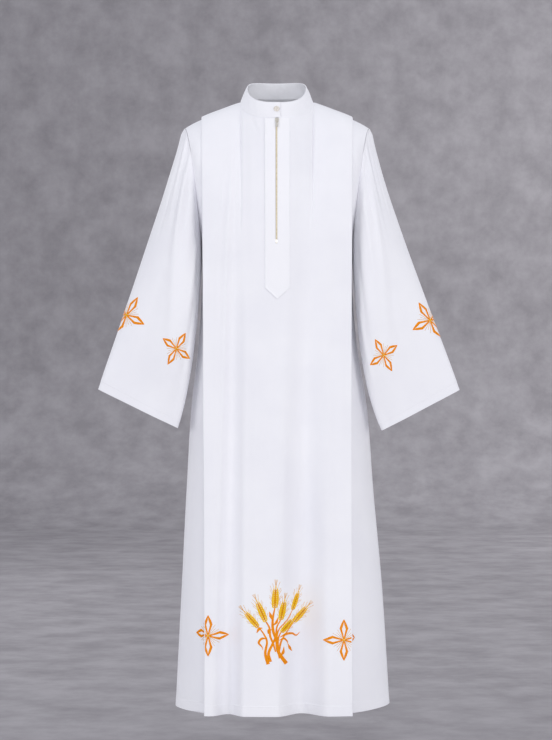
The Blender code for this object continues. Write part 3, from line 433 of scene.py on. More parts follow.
# ---- collar
def collar_point(q, h):
    """The stand collar: q runs from 0 at its upper end, at the front, to the viewer's left, round the back
    and to its lower end (1); h from 0 at the neckline to 1 at the top edge."""
    start = math.asin(COLLAR_OVER_X / NECK_HALF)
    end = 2 * math.pi - math.asin(COLLAR_UNDER_X / NECK_HALF)
    a = -mix(-start, end, np.asarray(q, float))
    c, s = np.cos(a), np.sin(a)
    spiral = mix(COLLAR_SPIRAL, -COLLAR_SPIRAL, q)
    low_reach = np.where(c > 0, NECK_REACH[FRONT], NECK_REACH[BACK])
    low = vec((NECK_HALF + spiral) * s, -(low_reach + spiral) * c, neck_z(c))
    low = low + np.array([0, 0, COLLAR_LIFT])
    top_reach = np.where(c > 0, COLLAR_TOP_REACH[FRONT], COLLAR_TOP_REACH[BACK])
    high = vec((COLLAR_TOP_HALF + spiral) * s, -(top_reach + spiral) * c, low[..., 2] + COLLAR_RISE)
    bow = COLLAR_BOW * np.sin(math.pi * h)
    return mix(low, high, np.asarray(h, float)[..., None]) + vec(s * bow, -c * bow, 0)


def collar_normal(q, h):
    return -surface_normal(collar_point, q, h)


# ---- what lies on the front
def on_front(x, v):
    """The front's middle surface at x metres from its centre line."""
    half = np.where(x < 0, edge_half(LEFT, v), edge_half(RIGHT, v))
    return panel(FRONT, x / half, v) + vec(0, -SEAM_GAP / 2, 0)

# ---- meshes
BODY = "garment"
SHARP_FOLD = math.radians(62)    # a sharper fold than this shades as an edge


def volume(points, faces):
    """Six times the signed volume inside a closed set of quads."""
    p = points[faces]
    return sum(float(np.sum(p[:, 0] * np.cross(p[:, k], p[:, k + 1]))) for k in (1, 2))


def link_object(name, data):
    made = bpy.data.objects.new(name, data)
    bpy.context.scene.collection.objects.link(made)
    return made


def add_piece(name, points, faces, look, uv=None):
    mesh = bpy.data.meshes.new(name)
    mesh.from_pydata(np.asarray(points, float).tolist(), [], [list(face) for face in faces])
    if uv is not None:
        layer = mesh.uv_layers.new(name="cloth")
        corner = np.empty(len(mesh.loops), np.int32)
        mesh.loops.foreach_get("vertex_index", corner)
        layer.data.foreach_set("uv", np.asarray(uv, np.float32)[corner].ravel())
    mesh.shade_smooth()
    mesh.set_sharp_from_angle(angle=SHARP_FOLD)
    mesh.materials.append(look)
    made = link_object(name, mesh)
    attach(made, BODY)
    return made


def grid_faces(rows, cols, ring=False, keep=None):
    i, j = np.meshgrid(np.arange(rows - 1), np.arange(cols if ring else cols - 1), indexing="ij")
    k = (j + 1) % cols
    quads = np.stack([i * cols + j, (i + 1) * cols + j, (i + 1) * cols + k, i * cols + k], axis=-1)
    if keep is not None:
        quads = quads[keep(i, j)]
    return quads.reshape(-1, 4)


def run_lengths(points, axis):
    """How far along the grid each point lies, in metres, along one of its two axes."""
    step = np.linalg.norm(np.diff(points, axis=axis), axis=-1)
    start = np.zeros_like(np.take(step, [0], axis=axis))
    return np.concatenate([start, np.cumsum(step, axis=axis)], axis=axis)


def shell(name, points, normals, look, thick=1.0, wall=CLOTH, ring=False, keep=None):
    """A thin closed wall on both sides of a grid of points; thick is a share of the wall's thickness."""
    rows, cols = points.shape[:2]
    half = normals * (np.broadcast_to(thick, (rows, cols)) * wall / 2)[..., None]
    both = np.concatenate([(points + half).reshape(-1, 3), (points - half).reshape(-1, 3)])
    quads = grid_faces(rows, cols, ring, keep)
    edges = np.concatenate([quads[:, [k, (k + 1) % 4]] for k in range(4)])
    count = rows * cols
    lone = ~np.isin(edges[:, 0] * count + edges[:, 1], edges[:, 1] * count + edges[:, 0])
    rim = edges[lone]
    rim = np.stack([rim[:, 1], rim[:, 0], rim[:, 0] + count, rim[:, 1] + count], axis=-1)
    faces = np.concatenate([quads, quads[:, ::-1] + count, rim])
    if volume(both, faces) < 0:
        faces = faces[:, ::-1]
    used, index = np.unique(faces, return_inverse=True)
    uv = np.stack([run_lengths(points, 1), run_lengths(points, 0)], axis=-1).reshape(-1, 2)
    both, uv = both[used], np.concatenate([uv, uv])[used]
    return add_piece(name, both, index.reshape(-1, 4), look, uv=uv)


# ---- fine relief: creases listed in millimetres from the neck's centre, and a slow unevenness
Crease = namedtuple("Crease", "x0 z0 x1 z1 bow width depth")
CREASES = {FRONT: [Crease(*(size / 1000 for size in row)) for row in (
    # the soft stitched folds that hang from the ends of the neckline
    (-90.5, -20, -94.5, -430, -3, 4.2, 1.6),
    (-79, -30, -76, -560, 2, 11, -2.2),
    (83, -20, 79, -400, 2, 6, -1.2),
    (95, -20, 92, -360, 2, 5, 0.8),
    # drags from the collar, the buttoned overlap and the shoulders
    (-62.5, -40, -40, -92, -2, 3.4, -1.6),
    (-56, -40, -34.5, -100, -2, 4, 1.3),
    (44, -45, 52, -130, 2, 7, -0.6),
    (-122, -120, -164, -420, 2, 19, -4.6),
    (-118, -70, -124, -200, 4, 12, 0.9),
    (142, -150, 130, -330, -4, 15, -1.2),
    (115, -260, 124, -520, 4, 14, 1),
    # slow waves down the skirt
    (-156, -420, -160, -1120, 6, 14, -0.6),
    (-128, -560, -132, -1350, -6, 18, 0.6),
    (-48, -620, -56, -1480, -4, 13, 1.8),
    (-22, -540, -18, -1180, 5, 17, -1.2),
    (12, -580, 6, -1300, -4, 14, 1.2),
    (36, -700, 24, -1500, 3, 12, -0.8),
    (102, -480, 106, -1150, -7, 16, 1.4),
    (133, -700, 140, -1420, 6, 14, -1.4),
    (160, -380, 164, -980, -4, 11, 1),
)], BACK: [Crease(*(size / 1000 for size in row)) for row in (
    (-130, -60, -118, -300, 6, 11, -1.8),
    (-74, -40, -82, -420, 3, 9, 1.4),
    (-30, -30, -36, -260, -4, 12, -1),
    (25, -50, 18, -360, 5, 13, 1.1),
    (86, -40, 79, -320, -5, 10, -1.5),
    (138, -110, 130, -380, 4, 12, 1.2),
    (-150, -450, -154, -1200, -5, 13, 1.4),
    (-108, -560, -120, -1440, 6, 12, -1.6),
    (-40, -480, -34, -1160, 4, 15, 1.3),
    (2, -660, 10, -1500, -3, 12, -1.6),
    (46, -520, 56, -1340, 5, 14, 1.5),
    (122, -640, 132, -1480, -6, 13, -1.3),
    (156, -420, 162, -1060, 4, 12, 1),
)]}
# On a sleeve: a is the turn round it, w the share of its length; width is in radians and depth in metres.
Wrinkle = namedtuple("Wrinkle", "a0 w0 a1 w1 width depth")
WRINKLES = {LEFT: [Wrinkle(*row) for row in (
    (0.3, 0, 0.46, 0.3, 0.055, -0.0034),
    (0.46, 0, 0.74, 0.46, 0.06, 0.0032),
    (0.66, 0, 0.92, 0.34, 0.06, -0.004),
    (0.88, 0, 1.14, 0.38, 0.065, 0.003),
    (1.08, 0.02, 1.4, 0.44, 0.08, -0.003),
    (1.36, 0.05, 1.72, 0.52, 0.1, 0.002),
    (0.9, 0.04, 2.2, 0.8, 0.17, -0.004),
    (1.26, 0.42, 1.18, 0.96, 0.14, 0.0018),
    (2.1, 0.1, 2.34, 0.56, 0.12, -0.003),
    (2.52, 0.3, 2.48, 0.9, 0.12, 0.0022),
    (-0.28, 0, -0.4, 0.36, 0.06, -0.0034),
    (-0.56, 0, -0.78, 0.42, 0.06, 0.003),
    (-0.84, 0, -1.06, 0.3, 0.06, -0.0032),
    (-1.24, 0.04, -1.52, 0.56, 0.1, 0.0024),
    (-2.04, 0.12, -2.2, 0.7, 0.12, -0.0028),
    (-0.92, 0.46, -0.84, 0.94, 0.12, 0.002),
)], RIGHT: [Wrinkle(*row) for row in (
    (0.24, 0, 0.36, 0.26, 0.055, 0.0026),
    (0.4, 0, 0.58, 0.38, 0.055, -0.0034),
    (0.6, 0, 0.84, 0.3, 0.055, 0.0026),
    (0.8, 0, 1.06, 0.42, 0.065, -0.0028),
    (1.1, 0.03, 1.42, 0.4, 0.08, 0.0024),
    (1.44, 0.06, 1.78, 0.56, 0.11, -0.0024),
    (0.84, 0.04, 2.1, 0.86, 0.16, -0.0036),
    (1.34, 0.5, 1.28, 0.98, 0.14, -0.0016),
    (2.16, 0.12, 2.4, 0.62, 0.12, 0.0024),
    (2.6, 0.34, 2.52, 0.92, 0.12, -0.0022),
    (-0.34, 0, -0.48, 0.34, 0.06, 0.003),
    (-0.62, 0, -0.86, 0.44, 0.06, -0.0034),
    (-0.94, 0, -1.2, 0.32, 0.07, 0.0028),
    (-1.36, 0.05, -1.62, 0.6, 0.1, -0.0024),
    (-2.12, 0.16, -2.28, 0.74, 0.12, 0.0022),
    (-0.86, 0.48, -0.8, 0.96, 0.12, -0.0018),
)]}
CREASE_ENDS, WRINKLE_ENDS = (0.22, 0.42), (0.10, 0.60)   # shares of the length in which one rises and fades
UNEVEN = 0.00035          # the slow unevenness of hanging cloth
UNEVEN_PHASE, SLEEVE_PHASE = {FRONT: 0.7, BACK: 2.7}, 2.0    # where its waves start on each piece


def bell(t, ends):
    """0 at both ends of a crease and 1 in its middle."""
    return ease(t / ends[0]) * ease((1 - t) / ends[1])


def crease_relief(face, x, z):
    total = np.zeros(np.broadcast(x, z).shape)
    for crease in CREASES[face]:
        t = (z - crease.z0) / (crease.z1 - crease.z0)
        middle = mix(crease.x0, crease.x1, t) + crease.bow * np.sin(math.pi * np.clip(t, 0, 1))
        total += crease.depth * np.exp(-(((x - middle) / crease.width) ** 2)) * bell(t, CREASE_ENDS)
    return total


def wrinkle_relief(side, a, w):
    around = np.mod(a + math.pi, 2 * math.pi) - math.pi
    total = np.zeros(np.broadcast(a, w).shape)
    for wrinkle in WRINKLES[side]:
        t = (w - wrinkle.w0) / (wrinkle.w1 - wrinkle.w0)
        off = around - mix(wrinkle.a0, wrinkle.a1, t)
        total += wrinkle.depth * np.exp(-((off / wrinkle.width) ** 2)) * bell(t, WRINKLE_ENDS)
    return total


def unevenness(x, z, phase):
    waves = np.sin(21 * x + 6 * z + phase) * np.sin(9 * z - 13 * x + 2 * phase)
    waves = waves + 0.6 * np.sin(47 * x - 17 * z + 3 * phase) * np.sin(23 * z + 31 * x + phase)
    return UNEVEN * waves


def gown_relief(face, point, creased=1):
    """How far the gown's cloth stands out at a point: its creases, and its slow unevenness."""
    x, z = point[..., 0], point[..., 2]
    return crease_relief(face, x, z) * creased + unevenness(x, z, UNEVEN_PHASE[face])


# ---- the gown
HEM_TURN = 0.025          # depth of the turned hem
HEM_STEP = 0.0004         # how far its double cloth stands out
HEM_STEP_PAST, HEM_STEP_RUN = 0.0008, 0.0012     # where that step starts, past the turned hem, and its length
EDGE_INSET = 0.0022       # from a sewn edge to its stitching
GROOVE_DEPTH, GROOVE_WIDTH = 0.0005, 0.0009      # the groove that the hem's stitching pulls
THINNEST = 0.12           # of the wall, at a folded edge
NECK_CUTS, SHOULDER_CUTS = 30, 26
SEAM_FADE, NECK_FADE = 0.03, 0.02        # how far from a seam and the neckline the cloth lies smooth
ROUND_NECK = 1.03         # a point of the top row is on the neckline within this share of its oval
ON_SEAM = 1e-4            # and on the shoulder seam within this distance
HEM_ROWS = (0.034, 0.030, 0.0275, 0.0262, 0.0255, 0.0250, 0.0245, 0.0238, 0.022, 0.018, 0.013,
            0.008, 0.004, 0.0016, 0.0008, 0.0003, 0.0)
GOWN_ROWS_UPPER, GOWN_ROWS_LOWER = 58, 118
FINE_ARC = tuple(np.linspace(0, 1, 7)[1:-1])
FINE_PLEAT = {1: FINE_ARC, 2: tuple(np.linspace(0, 1, 5)), 3: FINE_ARC, 4: tuple(np.linspace(0, 1, 22))}


def gown_rows():
    upper = np.linspace(0, 1, GOWN_ROWS_UPPER)
    foot = row_at(HEM_Z + HEM_ROWS[0])
    lower = np.linspace(1, foot, GOWN_ROWS_LOWER)[1:-1]
    return np.concatenate([upper, lower, [row_at(HEM_Z + rise) for rise in HEM_ROWS]])


def rounded_end(distance, reach=CLOTH / 2):
    """The share of the wall's thickness at a distance from a folded edge."""
    t = np.clip(1 - distance / reach, 0, 1)
    return np.maximum(np.sqrt(1 - t * t), THINNEST)


def hem_relief(distance):
    """The turned hem's step, and the groove that its stitching pulls."""
    step = HEM_STEP * ease((HEM_TURN + HEM_STEP_PAST - distance) / HEM_STEP_RUN)
    return step - GROOVE_DEPTH * np.exp(-(((distance - HEM_TURN + EDGE_INSET) / GROOVE_WIDTH) ** 2))


def gown(name, face, look, slit):
    places = panel_places(SLIT_HALF / EDGE_AT_SHOULDER if slit else 0.0, NECK_CUTS, SHOULDER_CUTS)
    across = sorted(set([-p for p in places] + places))

    def side_strips(side):
        made = []
        for part, cuts in FINE_PLEAT.items():
            def surface(q, v, part=part):
                return pleat(face, side, part, q if side == RIGHT else 1 - q, v)
            here = cuts if side == RIGHT else [1 - q for q in reversed(cuts)]
            made.append(Strip(surface, here, 0.0, 1.0))
        return made if side == RIGHT else made[::-1]

    rows = gown_rows()
    left = side_strips(LEFT)
    middle = Strip(partial(panel, face), across, -1.0, 1.0)
    points, normals = build_grid(left + [middle] + side_strips(RIGHT), rows)
    normals = normals * face
    seams = np.zeros(points.shape[:2], bool)
    seams[:, 0] = seams[:, -1] = rows >= 1.0
    seams[0, :] = np.abs(points[0, :, 1]) < ON_SEAM
    normals[seams, 1] = 0.0
    round_neck = np.linalg.norm(points[0, :, :2] / [NECK_HALF, NECK_REACH[face]], axis=-1) < ROUND_NECK
    radial = unit(points[0] * [1, 1, 0])
    lean = mix(NECK_LEAN_SIDE, NECK_LEAN, np.abs(points[0, :, 1]) / NECK_REACH[face])[:, None]
    neck_normals = unit(radial * lean + vec(0, 0, 1) * np.sqrt(1 - lean**2))
    normals[0] = np.where(round_neck[:, None], neck_normals, normals[0])
    normals = unit(normals)

    start = sum(len(strip.places) for strip in left)
    on_panel = np.zeros(points.shape[1], bool)
    on_panel[start : start + len(across)] = True
    v = np.broadcast_to(rows[:, None], points.shape[:2])
    from_seam = np.minimum(run_lengths(points, 1), run_lengths(points[:, ::-1], 1)[:, ::-1])
    from_neck = run_lengths(points, 0)
    free = ease(from_seam / SEAM_FADE) * ease(from_neck / NECK_FADE)
    from_hem = np.where(v > 1, points[..., 2] - HEM_Z, 1.0)
    points = points + normals * (gown_relief(face, points, on_panel) * free)[..., None]
    points = points + normals * hem_relief(from_hem)[..., None]
    points = points + np.array([0.0, face * SEAM_GAP / 2, 0.0])
    slit_column = start + across.index(-places[0]) if slit else None

    def keep(i, j):
        return ~(slit & (j == slit_column) & (rows[i] < 1.0 - NEARLY))

    made = shell(name, points, normals, look, thick=rounded_end(from_hem), keep=keep)
    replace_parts(made, "front" if face == FRONT else "back")
    return made


# ---- sleeves
SLEEVE_LENGTH = 0.66
CUFF_ROWS = tuple(1 - d / SLEEVE_LENGTH for d in HEM_ROWS)
SLEEVE_ROWS_FINE, SLEEVE_HEAD_FINE, SLEEVE_REST_FINE = 92, 110, 84
SLEEVE_ROWS_POWER = 1.15  # how the rows crowd together towards the head
SLEEVE_ROUND = 0.1        # metres for each radian round the sleeve, for its unevenness
SEAM_STAND = (0.55, 1.0)  # how far it stands off its seam, at the shoulder and the underarm


def sleeve_outward(side, a, w):
    return surface_normal(partial(sleeve_point, side), a, w, 0, 1) * -side


def sleeve_surface(side, a, w):
    """The middle of the sleeve's cloth, with its gathers, troughs and wrinkles."""
    a, w = np.broadcast_arrays(np.asarray(a, float), np.asarray(w, float))
    relief = sleeve_relief(a, w) + wrinkle_relief(side, a, w)
    uneven = unevenness(a * SLEEVE_ROUND, w * SLEEVE_LENGTH, SLEEVE_PHASE + side)
    relief = relief + uneven * ease(w / SEAM_REACH)
    relief = relief + hem_relief((1 - w) * SLEEVE_LENGTH)
    point = sleeve_point(side, a, w) + sleeve_outward(side, a, w) * relief[..., None]
    inner = (1 - np.cos(a)) / 2
    lean_x = np.abs(sleeve_outward(side, a, np.zeros_like(w))[..., 0])
    shift = SEAM_GAP + CLOTH * 0.5 * (lean_x + mix(*SEAM_STAND, inner))
    away = mix(shift, SLEEVE_CLEAR, ease(w / SEAM_REACH))
    return point + vec(side * away, 0, 0)


def sleeve_normal(side, a, w):
    return surface_normal(partial(sleeve_surface, side), a, w, 0, 1) * -side


def fine_sleeve(name, side, look):
    head = np.linspace(-GATHER_SPREAD, GATHER_SPREAD, SLEEVE_HEAD_FINE, endpoint=False)
    rest = np.linspace(GATHER_SPREAD, 2 * math.pi - GATHER_SPREAD, SLEEVE_REST_FINE, endpoint=False)
    upper = np.linspace(0, 1, SLEEVE_ROWS_FINE) ** SLEEVE_ROWS_POWER * CUFF_ROWS[0]
    rows = np.concatenate([upper[:-1], CUFF_ROWS])
    a, w = np.meshgrid(np.concatenate([head, rest]), rows)
    points, normals = sleeve_surface(side, a, w), sleeve_normal(side, a, w)
    thick = rounded_end((1 - w) * SLEEVE_LENGTH)
    made = shell(name, points, normals, look, thick=thick, ring=True)
    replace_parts(made, "sleeve_left" if side == LEFT else "sleeve_right")
    return made


# ---- the collar's cloth
COLLAR_FINE = 340         # cuts round the band
COLLAR_FOOT = -0.045         # the band runs down into the neckline, as a share of its rise
COLLAR_HEIGHTS = (COLLAR_FOOT, 0.0, 0.02, 0.05, 0.10, 0.16, 0.25, 0.36,
                  0.48, 0.60, 0.72, 0.82, 0.89, 0.94, 0.975, 0.99, 1.0)
RIPPLE_LONG, RIPPLE_SHORT = 0.00025, 0.00018     # the band's faint waves


def fine_collar(look):
    q, h = np.meshgrid(np.linspace(0, 1, COLLAR_FINE), np.array(COLLAR_HEIGHTS))
    normals = collar_normal(q, h)
    normals[:2, :, 2] = 0.0
    points = collar_point(q, h)
    middle = np.sin(math.pi * h)
    ripple = RIPPLE_LONG * np.sin(61 * q + 3 * h) * middle + RIPPLE_SHORT * np.sin(149 * q - 5 * h)
    points = points + normals * (ripple * middle)[..., None]
    around = run_lengths(points, 1)
    from_end = np.minimum(around, around[:, -1:] - around)
    from_edge = (1 - h) * COLLAR_RISE
    thick = rounded_end(from_end, COLLAR_WALL / 2) * rounded_end(from_edge, COLLAR_WALL / 2)
    made = shell("collar_shell", points, unit(normals), look, thick=thick, wall=COLLAR_WALL)
    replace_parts(made, "collar")
    return made


# ---- placket
UPPER_V = 0.016
PLACKET_SPRING = 0.0017   # how far the placket's edge lifts off the gown
SPRING_REACH, SPRING_SIDE = 0.008, 0.004         # how far in from the edge, and across at the foot
SPRING_SHARES, SPRING_WAVES = (0.75, 0.25), 34   # the lift's steady and waving parts
PLACKET_XS, PLACKET_ROWS, PLACKET_FOOT_ROWS = 26, 120, 26
PLACKET_EDGE_CUTS = np.array([0.0003, 0.0008])
PLACKET_LOW = CLOTH / 2 + SEAM_GAP       # its inner face, from the middle of the gown's cloth
PLACKET_MIDDLE, PLACKET_HALF = (PLACKET_LEFT + PLACKET_RIGHT) / 2, (PLACKET_RIGHT - PLACKET_LEFT) / 2
SKIRT = UNDERARM_Z - HEM_Z               # the length of v from 1 to 2
COIL_FOOT = 0.975


def front_normal(x, v):
    return -surface_normal(on_front, x, v, low=0)


def placket_foot(x):
    """The row of the placket's lower edge, which comes to a point."""
    return row_at(mix(PLACKET_TIP_Z, PLACKET_CORNER_Z, np.abs(x - PLACKET_MIDDLE) / PLACKET_HALF))


def placket_spring(x, v):
    """The share of its lift that the placket has: down its left edge, and at its foot's left half."""
    side = np.clip((PLACKET_LEFT + SPRING_REACH - x) / SPRING_REACH, 0, 1) ** 2
    from_foot = (placket_foot(x) - v) * SKIRT
    foot = np.clip(1 - from_foot / SPRING_REACH, 0, 1) ** 2
    foot = foot * np.clip((PLACKET_MIDDLE - x) / SPRING_SIDE, 0, 1)
    return np.maximum(side * (SPRING_SHARES[0] + SPRING_SHARES[1] * np.sin(SPRING_WAVES * v)), foot)


def on_placket(x, v, share=1.0):
    """Points in the placket's wall, from its inner face (0) to its outer one (1), and their normals."""
    x, v = np.broadcast_arrays(np.asarray(x, float), np.asarray(v, float))
    point, normals = on_front(x, v), front_normal(x, v)
    relief = crease_relief(FRONT, x, point[..., 2]) + PLACKET_SPRING * placket_spring(x, v)
    return point + normals * (PLACKET_LOW + PLACKET_WALL * share + relief)[..., None], normals


def fine_placket(look):
    sides = ((PLACKET_LEFT, -SLIT_HALF), (SLIT_HALF, PLACKET_RIGHT))
    halves = [np.linspace(*ends, PLACKET_XS // 2) for ends in sides]
    near_edges = [PLACKET_LEFT + PLACKET_EDGE_CUTS, PLACKET_RIGHT - PLACKET_EDGE_CUTS]
    xs = np.unique(np.concatenate(halves + [[PLACKET_MIDDLE]] + near_edges))
    upper = np.linspace(UPPER_V, 1.0, PLACKET_ROWS)
    share = np.concatenate([np.linspace(0, 0.97, PLACKET_FOOT_ROWS), [0.985, 0.995, 1.0]])[1:]
    foot = placket_foot(xs)
    rows = np.broadcast_to(upper[:, None], (len(upper), len(xs)))
    v = np.concatenate([rows, mix(1.0, foot, share[:, None])])
    x = np.broadcast_to(xs, v.shape)
    points, normals = on_placket(x, v, 0.5)
    from_side = np.minimum(x - PLACKET_LEFT, PLACKET_RIGHT - x)
    from_foot = np.where(v > 1, np.maximum((foot - v) * SKIRT, 0), 1.0)
    thick = rounded_end(np.minimum(from_side, from_foot), PLACKET_WALL / 2)
    slit = int(np.argmin(np.abs(xs + SLIT_HALF)))

    def keep(i, j):
        return ~((j == slit) & (v[i, 0] < 1.0 - NEARLY))

    made = shell("placket_shell", points, normals, look, thick=thick, wall=PLACKET_WALL, keep=keep)
    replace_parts(made, "placket")
    return made


# ---- topstitching
STITCH, STITCH_GAP, STITCH_THICK = 0.0027, 0.0008, 0.00034
STITCH_SIDE, STITCH_SINK = 0.55, 0.4     # its half width, and its depth in the cloth, as shares of its height
ZIP_STITCH_X = 0.0078     # from the middle of the zip to the stitching on each side of it
ZIP_STITCH_FOOT = -0.372
ZIP_TOP = UPPER_V + 0.004
END_INSET = 0.006         # from the collar's ends to their stitching, as a share of the band
FOOT_INSET = 1.3          # the placket's foot is stitched this many times as far in as its sides
HEM_ACROSS, HEM_BESIDE = np.linspace(-0.992, 0.992, 220), np.linspace(0.03, 0.985, 90)


def run_of(line):
    return np.concatenate([[0.0], np.cumsum(np.linalg.norm(np.diff(line[0], axis=0), axis=1))])


def along(line, distance):
    """Values of a line's points or normals at distances along it, in metres."""
    run = run_of(line)
    return [np.stack([np.interp(distance, run, part[:, k]) for k in range(3)], axis=-1) for part in line]


def stitches(name, lines, look):
    """Short raised threads, end to end along each line of (points, normals)."""
    points, faces, base = [], [], 0
    for line in lines:
        starts = np.arange(0, run_of(line)[-1] - STITCH, STITCH + STITCH_GAP)
        head, normal = along(line, starts)
        tail = along(line, starts + STITCH)[0]
        side = unit(np.cross(normal, tail - head)) * STITCH_THICK * STITCH_SIDE
        lift = unit(normal) * STITCH_THICK
        middle = (head + tail) / 2
        corners = [head, tail, middle + lift, middle + side, middle - lift * STITCH_SINK, middle - side]
        points.append(np.stack(corners, axis=1).reshape(-1, 3))
        start = base + 6 * np.arange(len(starts))
        for k in range(4):
            near, far = start + 2 + k, start + 2 + (k + 1) % 4
            faces += [np.stack([start, near, far], axis=-1), np.stack([start + 1, far, near], axis=-1)]
        base += 6 * len(starts)
    return add_piece(name, np.concatenate(points), np.concatenate(faces), look)


def placket_stitching(look):
    edges, lines = (PLACKET_LEFT + EDGE_INSET, PLACKET_RIGHT - EDGE_INSET), []
    for x in edges:
        foot = float(placket_foot(np.array(x))) - EDGE_INSET / SKIRT
        lines.append(on_placket(x, np.linspace(ZIP_TOP, foot, 300)))
    for edge in edges:
        x = np.linspace(edge, PLACKET_MIDDLE, 60)
        lines.append(on_placket(x, placket_foot(x) - FOOT_INSET * EDGE_INSET / SKIRT))
    foot = row_at(ZIP_STITCH_FOOT)
    for x in (-ZIP_STITCH_X, ZIP_STITCH_X):
        lines.append(on_placket(x, np.linspace(ZIP_TOP, foot, 260)))
    lines.append(on_placket(np.linspace(-ZIP_STITCH_X, ZIP_STITCH_X, 20), foot))
    stitches("placket_stitching", lines, look)


def collar_stitching(look):
    inset = EDGE_INSET / COLLAR_RISE
    round_band, up_end = np.linspace(END_INSET, 1 - END_INSET, 900), np.linspace(inset, 1 - inset, 60)
    lines = []
    for q, h in ((round_band, inset), (round_band, 1 - inset), (END_INSET, up_end)):
        q, h = [np.array(part) for part in np.broadcast_arrays(q, h)]
        normals = collar_normal(q, h)
        lines.append((collar_point(q, h) + normals * COLLAR_WALL / 2, normals))
    stitches("collar_stitching", lines, look)


def hem_stitching(look):
    """Round the turned hem, on each panel's outer face."""
    lines = []
    for face in (FRONT, BACK):
        spans = [(partial(panel, face), HEM_ACROSS, -1.0, 1)]
        for side in (LEFT, RIGHT):
            spans.append((partial(pleat, face, side, 4), HEM_BESIDE, 0.0, 0))
        for surface, places, low, creased in spans:
            rows = np.full_like(places, row_at(HEM_Z + HEM_TURN - EDGE_INSET))
            point = surface(places, rows)
            across = slope_along(surface, places, rows, STEP, 0, low, 1.0)
            normal = unit(np.cross(across, slope_along(surface, places, rows, 0, STEP)))
            normal = normal * np.sign(normal[..., 1:2] * face)
            point = point + normal * (CLOTH / 2 + gown_relief(face, point, creased))[..., None]
            lines.append((point + np.array([0, face * SEAM_GAP / 2, 0]), normal))
    stitches("hem_stitching", lines, look)


def cuff_stitching(look):
    lines = []
    for side in (LEFT, RIGHT):
        a = np.linspace(0, 2 * math.pi, 500)
        w = np.full_like(a, 1 - (HEM_TURN - EDGE_INSET) / SLEEVE_LENGTH)
        normals = sleeve_normal(side, a, w)
        lines.append((sleeve_surface(side, a, w) + normals * CLOTH / 2, normals))
    stitches("cuff_stitching", lines, look)


# ---- zip and button
TOOTH_PITCH, TOOTH_HALF, TOOTH_LAP = 0.00150, 0.00052, 0.0004
TOOTH_RING = ((1.0, 0.0), (0.55, 0.85), (-0.55, 0.85), (-1.0, 0.0), (-0.55, -0.85), (0.55, -0.85))
TOOTH_STATIONS = ((-0.5, 0.45), (-0.40, 1.0), (0.38, 1.0), (0.5, 0.6))
TOOTH_AHEAD = 0.0005      # how far ahead the zip's heading is read
CORD_RING = ((-0.86, 0.0), (-0.70, 0.55), (0.70, 0.55), (0.86, 0.0), (0.70, -0.55), (-0.70, -0.55))
ZIP_CUTS, CORD_SKIP = 1500, 5


def zip_teeth(look):
    """Two rows of interlocked coil teeth down the closed zip, and the cord that they are wound on."""
    v = np.linspace(ZIP_TOP, COIL_FOOT - 0.002, ZIP_CUTS)
    cord, cord_out = on_front(np.zeros_like(v), v), front_normal(np.zeros_like(v), v)
    line = (cord, cord_out)
    width, high = COIL_HALF + TOOTH_LAP, (COIL_HIGH - COIL_LOW) / 2
    places = [(place, across * size, up * size)
              for place, size in TOOTH_STATIONS for across, up in TOOTH_RING]
    points, faces = [], []
    for side in (LEFT, RIGHT):
        starts = np.arange(TOOTH_PITCH / 2 if side == LEFT else 0.0, run_of(line)[-1], TOOTH_PITCH)
        middle, out = along(line, starts)
        out = unit(out)
        down = unit(along(line, starts + TOOTH_AHEAD)[0] - middle)
        right = unit(np.cross(down, out)) * -side
        core = middle + out * (COIL_LOW + high) - right * (width / 2 - TOOTH_LAP)
        for k in range(len(starts)):
            base = len(points)
            for place, across, up in places:
                aside = right[k] * (width * place) + down[k] * (TOOTH_HALF * across)
                points.append(core[k] + aside + out[k] * (high * up))
            for ring in range(base, base + 18, 6):       # six corners at each of four stations
                turns = [(ring + m, ring + (m + 1) % 6) for m in range(6)]
                faces += [(a, b, b + 6, a + 6) for a, b in turns]
            faces += [tuple(range(base + 5, base - 1, -1)), tuple(range(base + 18, base + 24))]
    base, sides = len(points), len(CORD_RING)
    for across, up in CORD_RING:
        place = cord + vec(COIL_HALF * across, 0, 0) + cord_out * (COIL_LOW + high * (1 + up))
        points.extend(place[::CORD_SKIP])
    count = (len(points) - base) // sides
    for m in range(sides):
        a, b = base + m * count, base + (m + 1) % sides * count
        faces += [(a + k, b + k, b + k + 1, a + k + 1) for k in range(count - 1)]
    ends = [[base + m * count + end for m in range(sides)] for end in (0, count - 1)]
    faces += [tuple(ends[0][::-1]), tuple(ends[1])]
    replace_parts(add_piece("zip_teeth", points, faces, look), "zip_coil")


def revolve(name, profile, base, out, look, sides=48):
    """A turned piece: profile rows of (radius, height) round the axis out of a base point."""
    right = unit(np.cross(out, np.array([0.0, 0.0, -1.0])))
    up = np.cross(right, out)
    turns = np.linspace(0, 2 * math.pi, sides, endpoint=False)
    spokes = right * np.cos(turns)[:, None] + up * np.sin(turns)[:, None]
    points = np.concatenate([base + out * rise + spokes * radius for radius, rise in profile])
    return add_piece(name, points, grid_faces(len(profile), sides, ring=True), look)


RIM, RIM_RISE = 0.0009, 0.0008           # the rim's half round, outwards and upwards
DOME_INSET, DOME_SINK = 0.0011, 0.0001   # where the dome starts, inside the rim and below the edge
SHANK = ((0.0016, -0.0006), (0.0022, -0.0001), (0.0016, 0.0004))


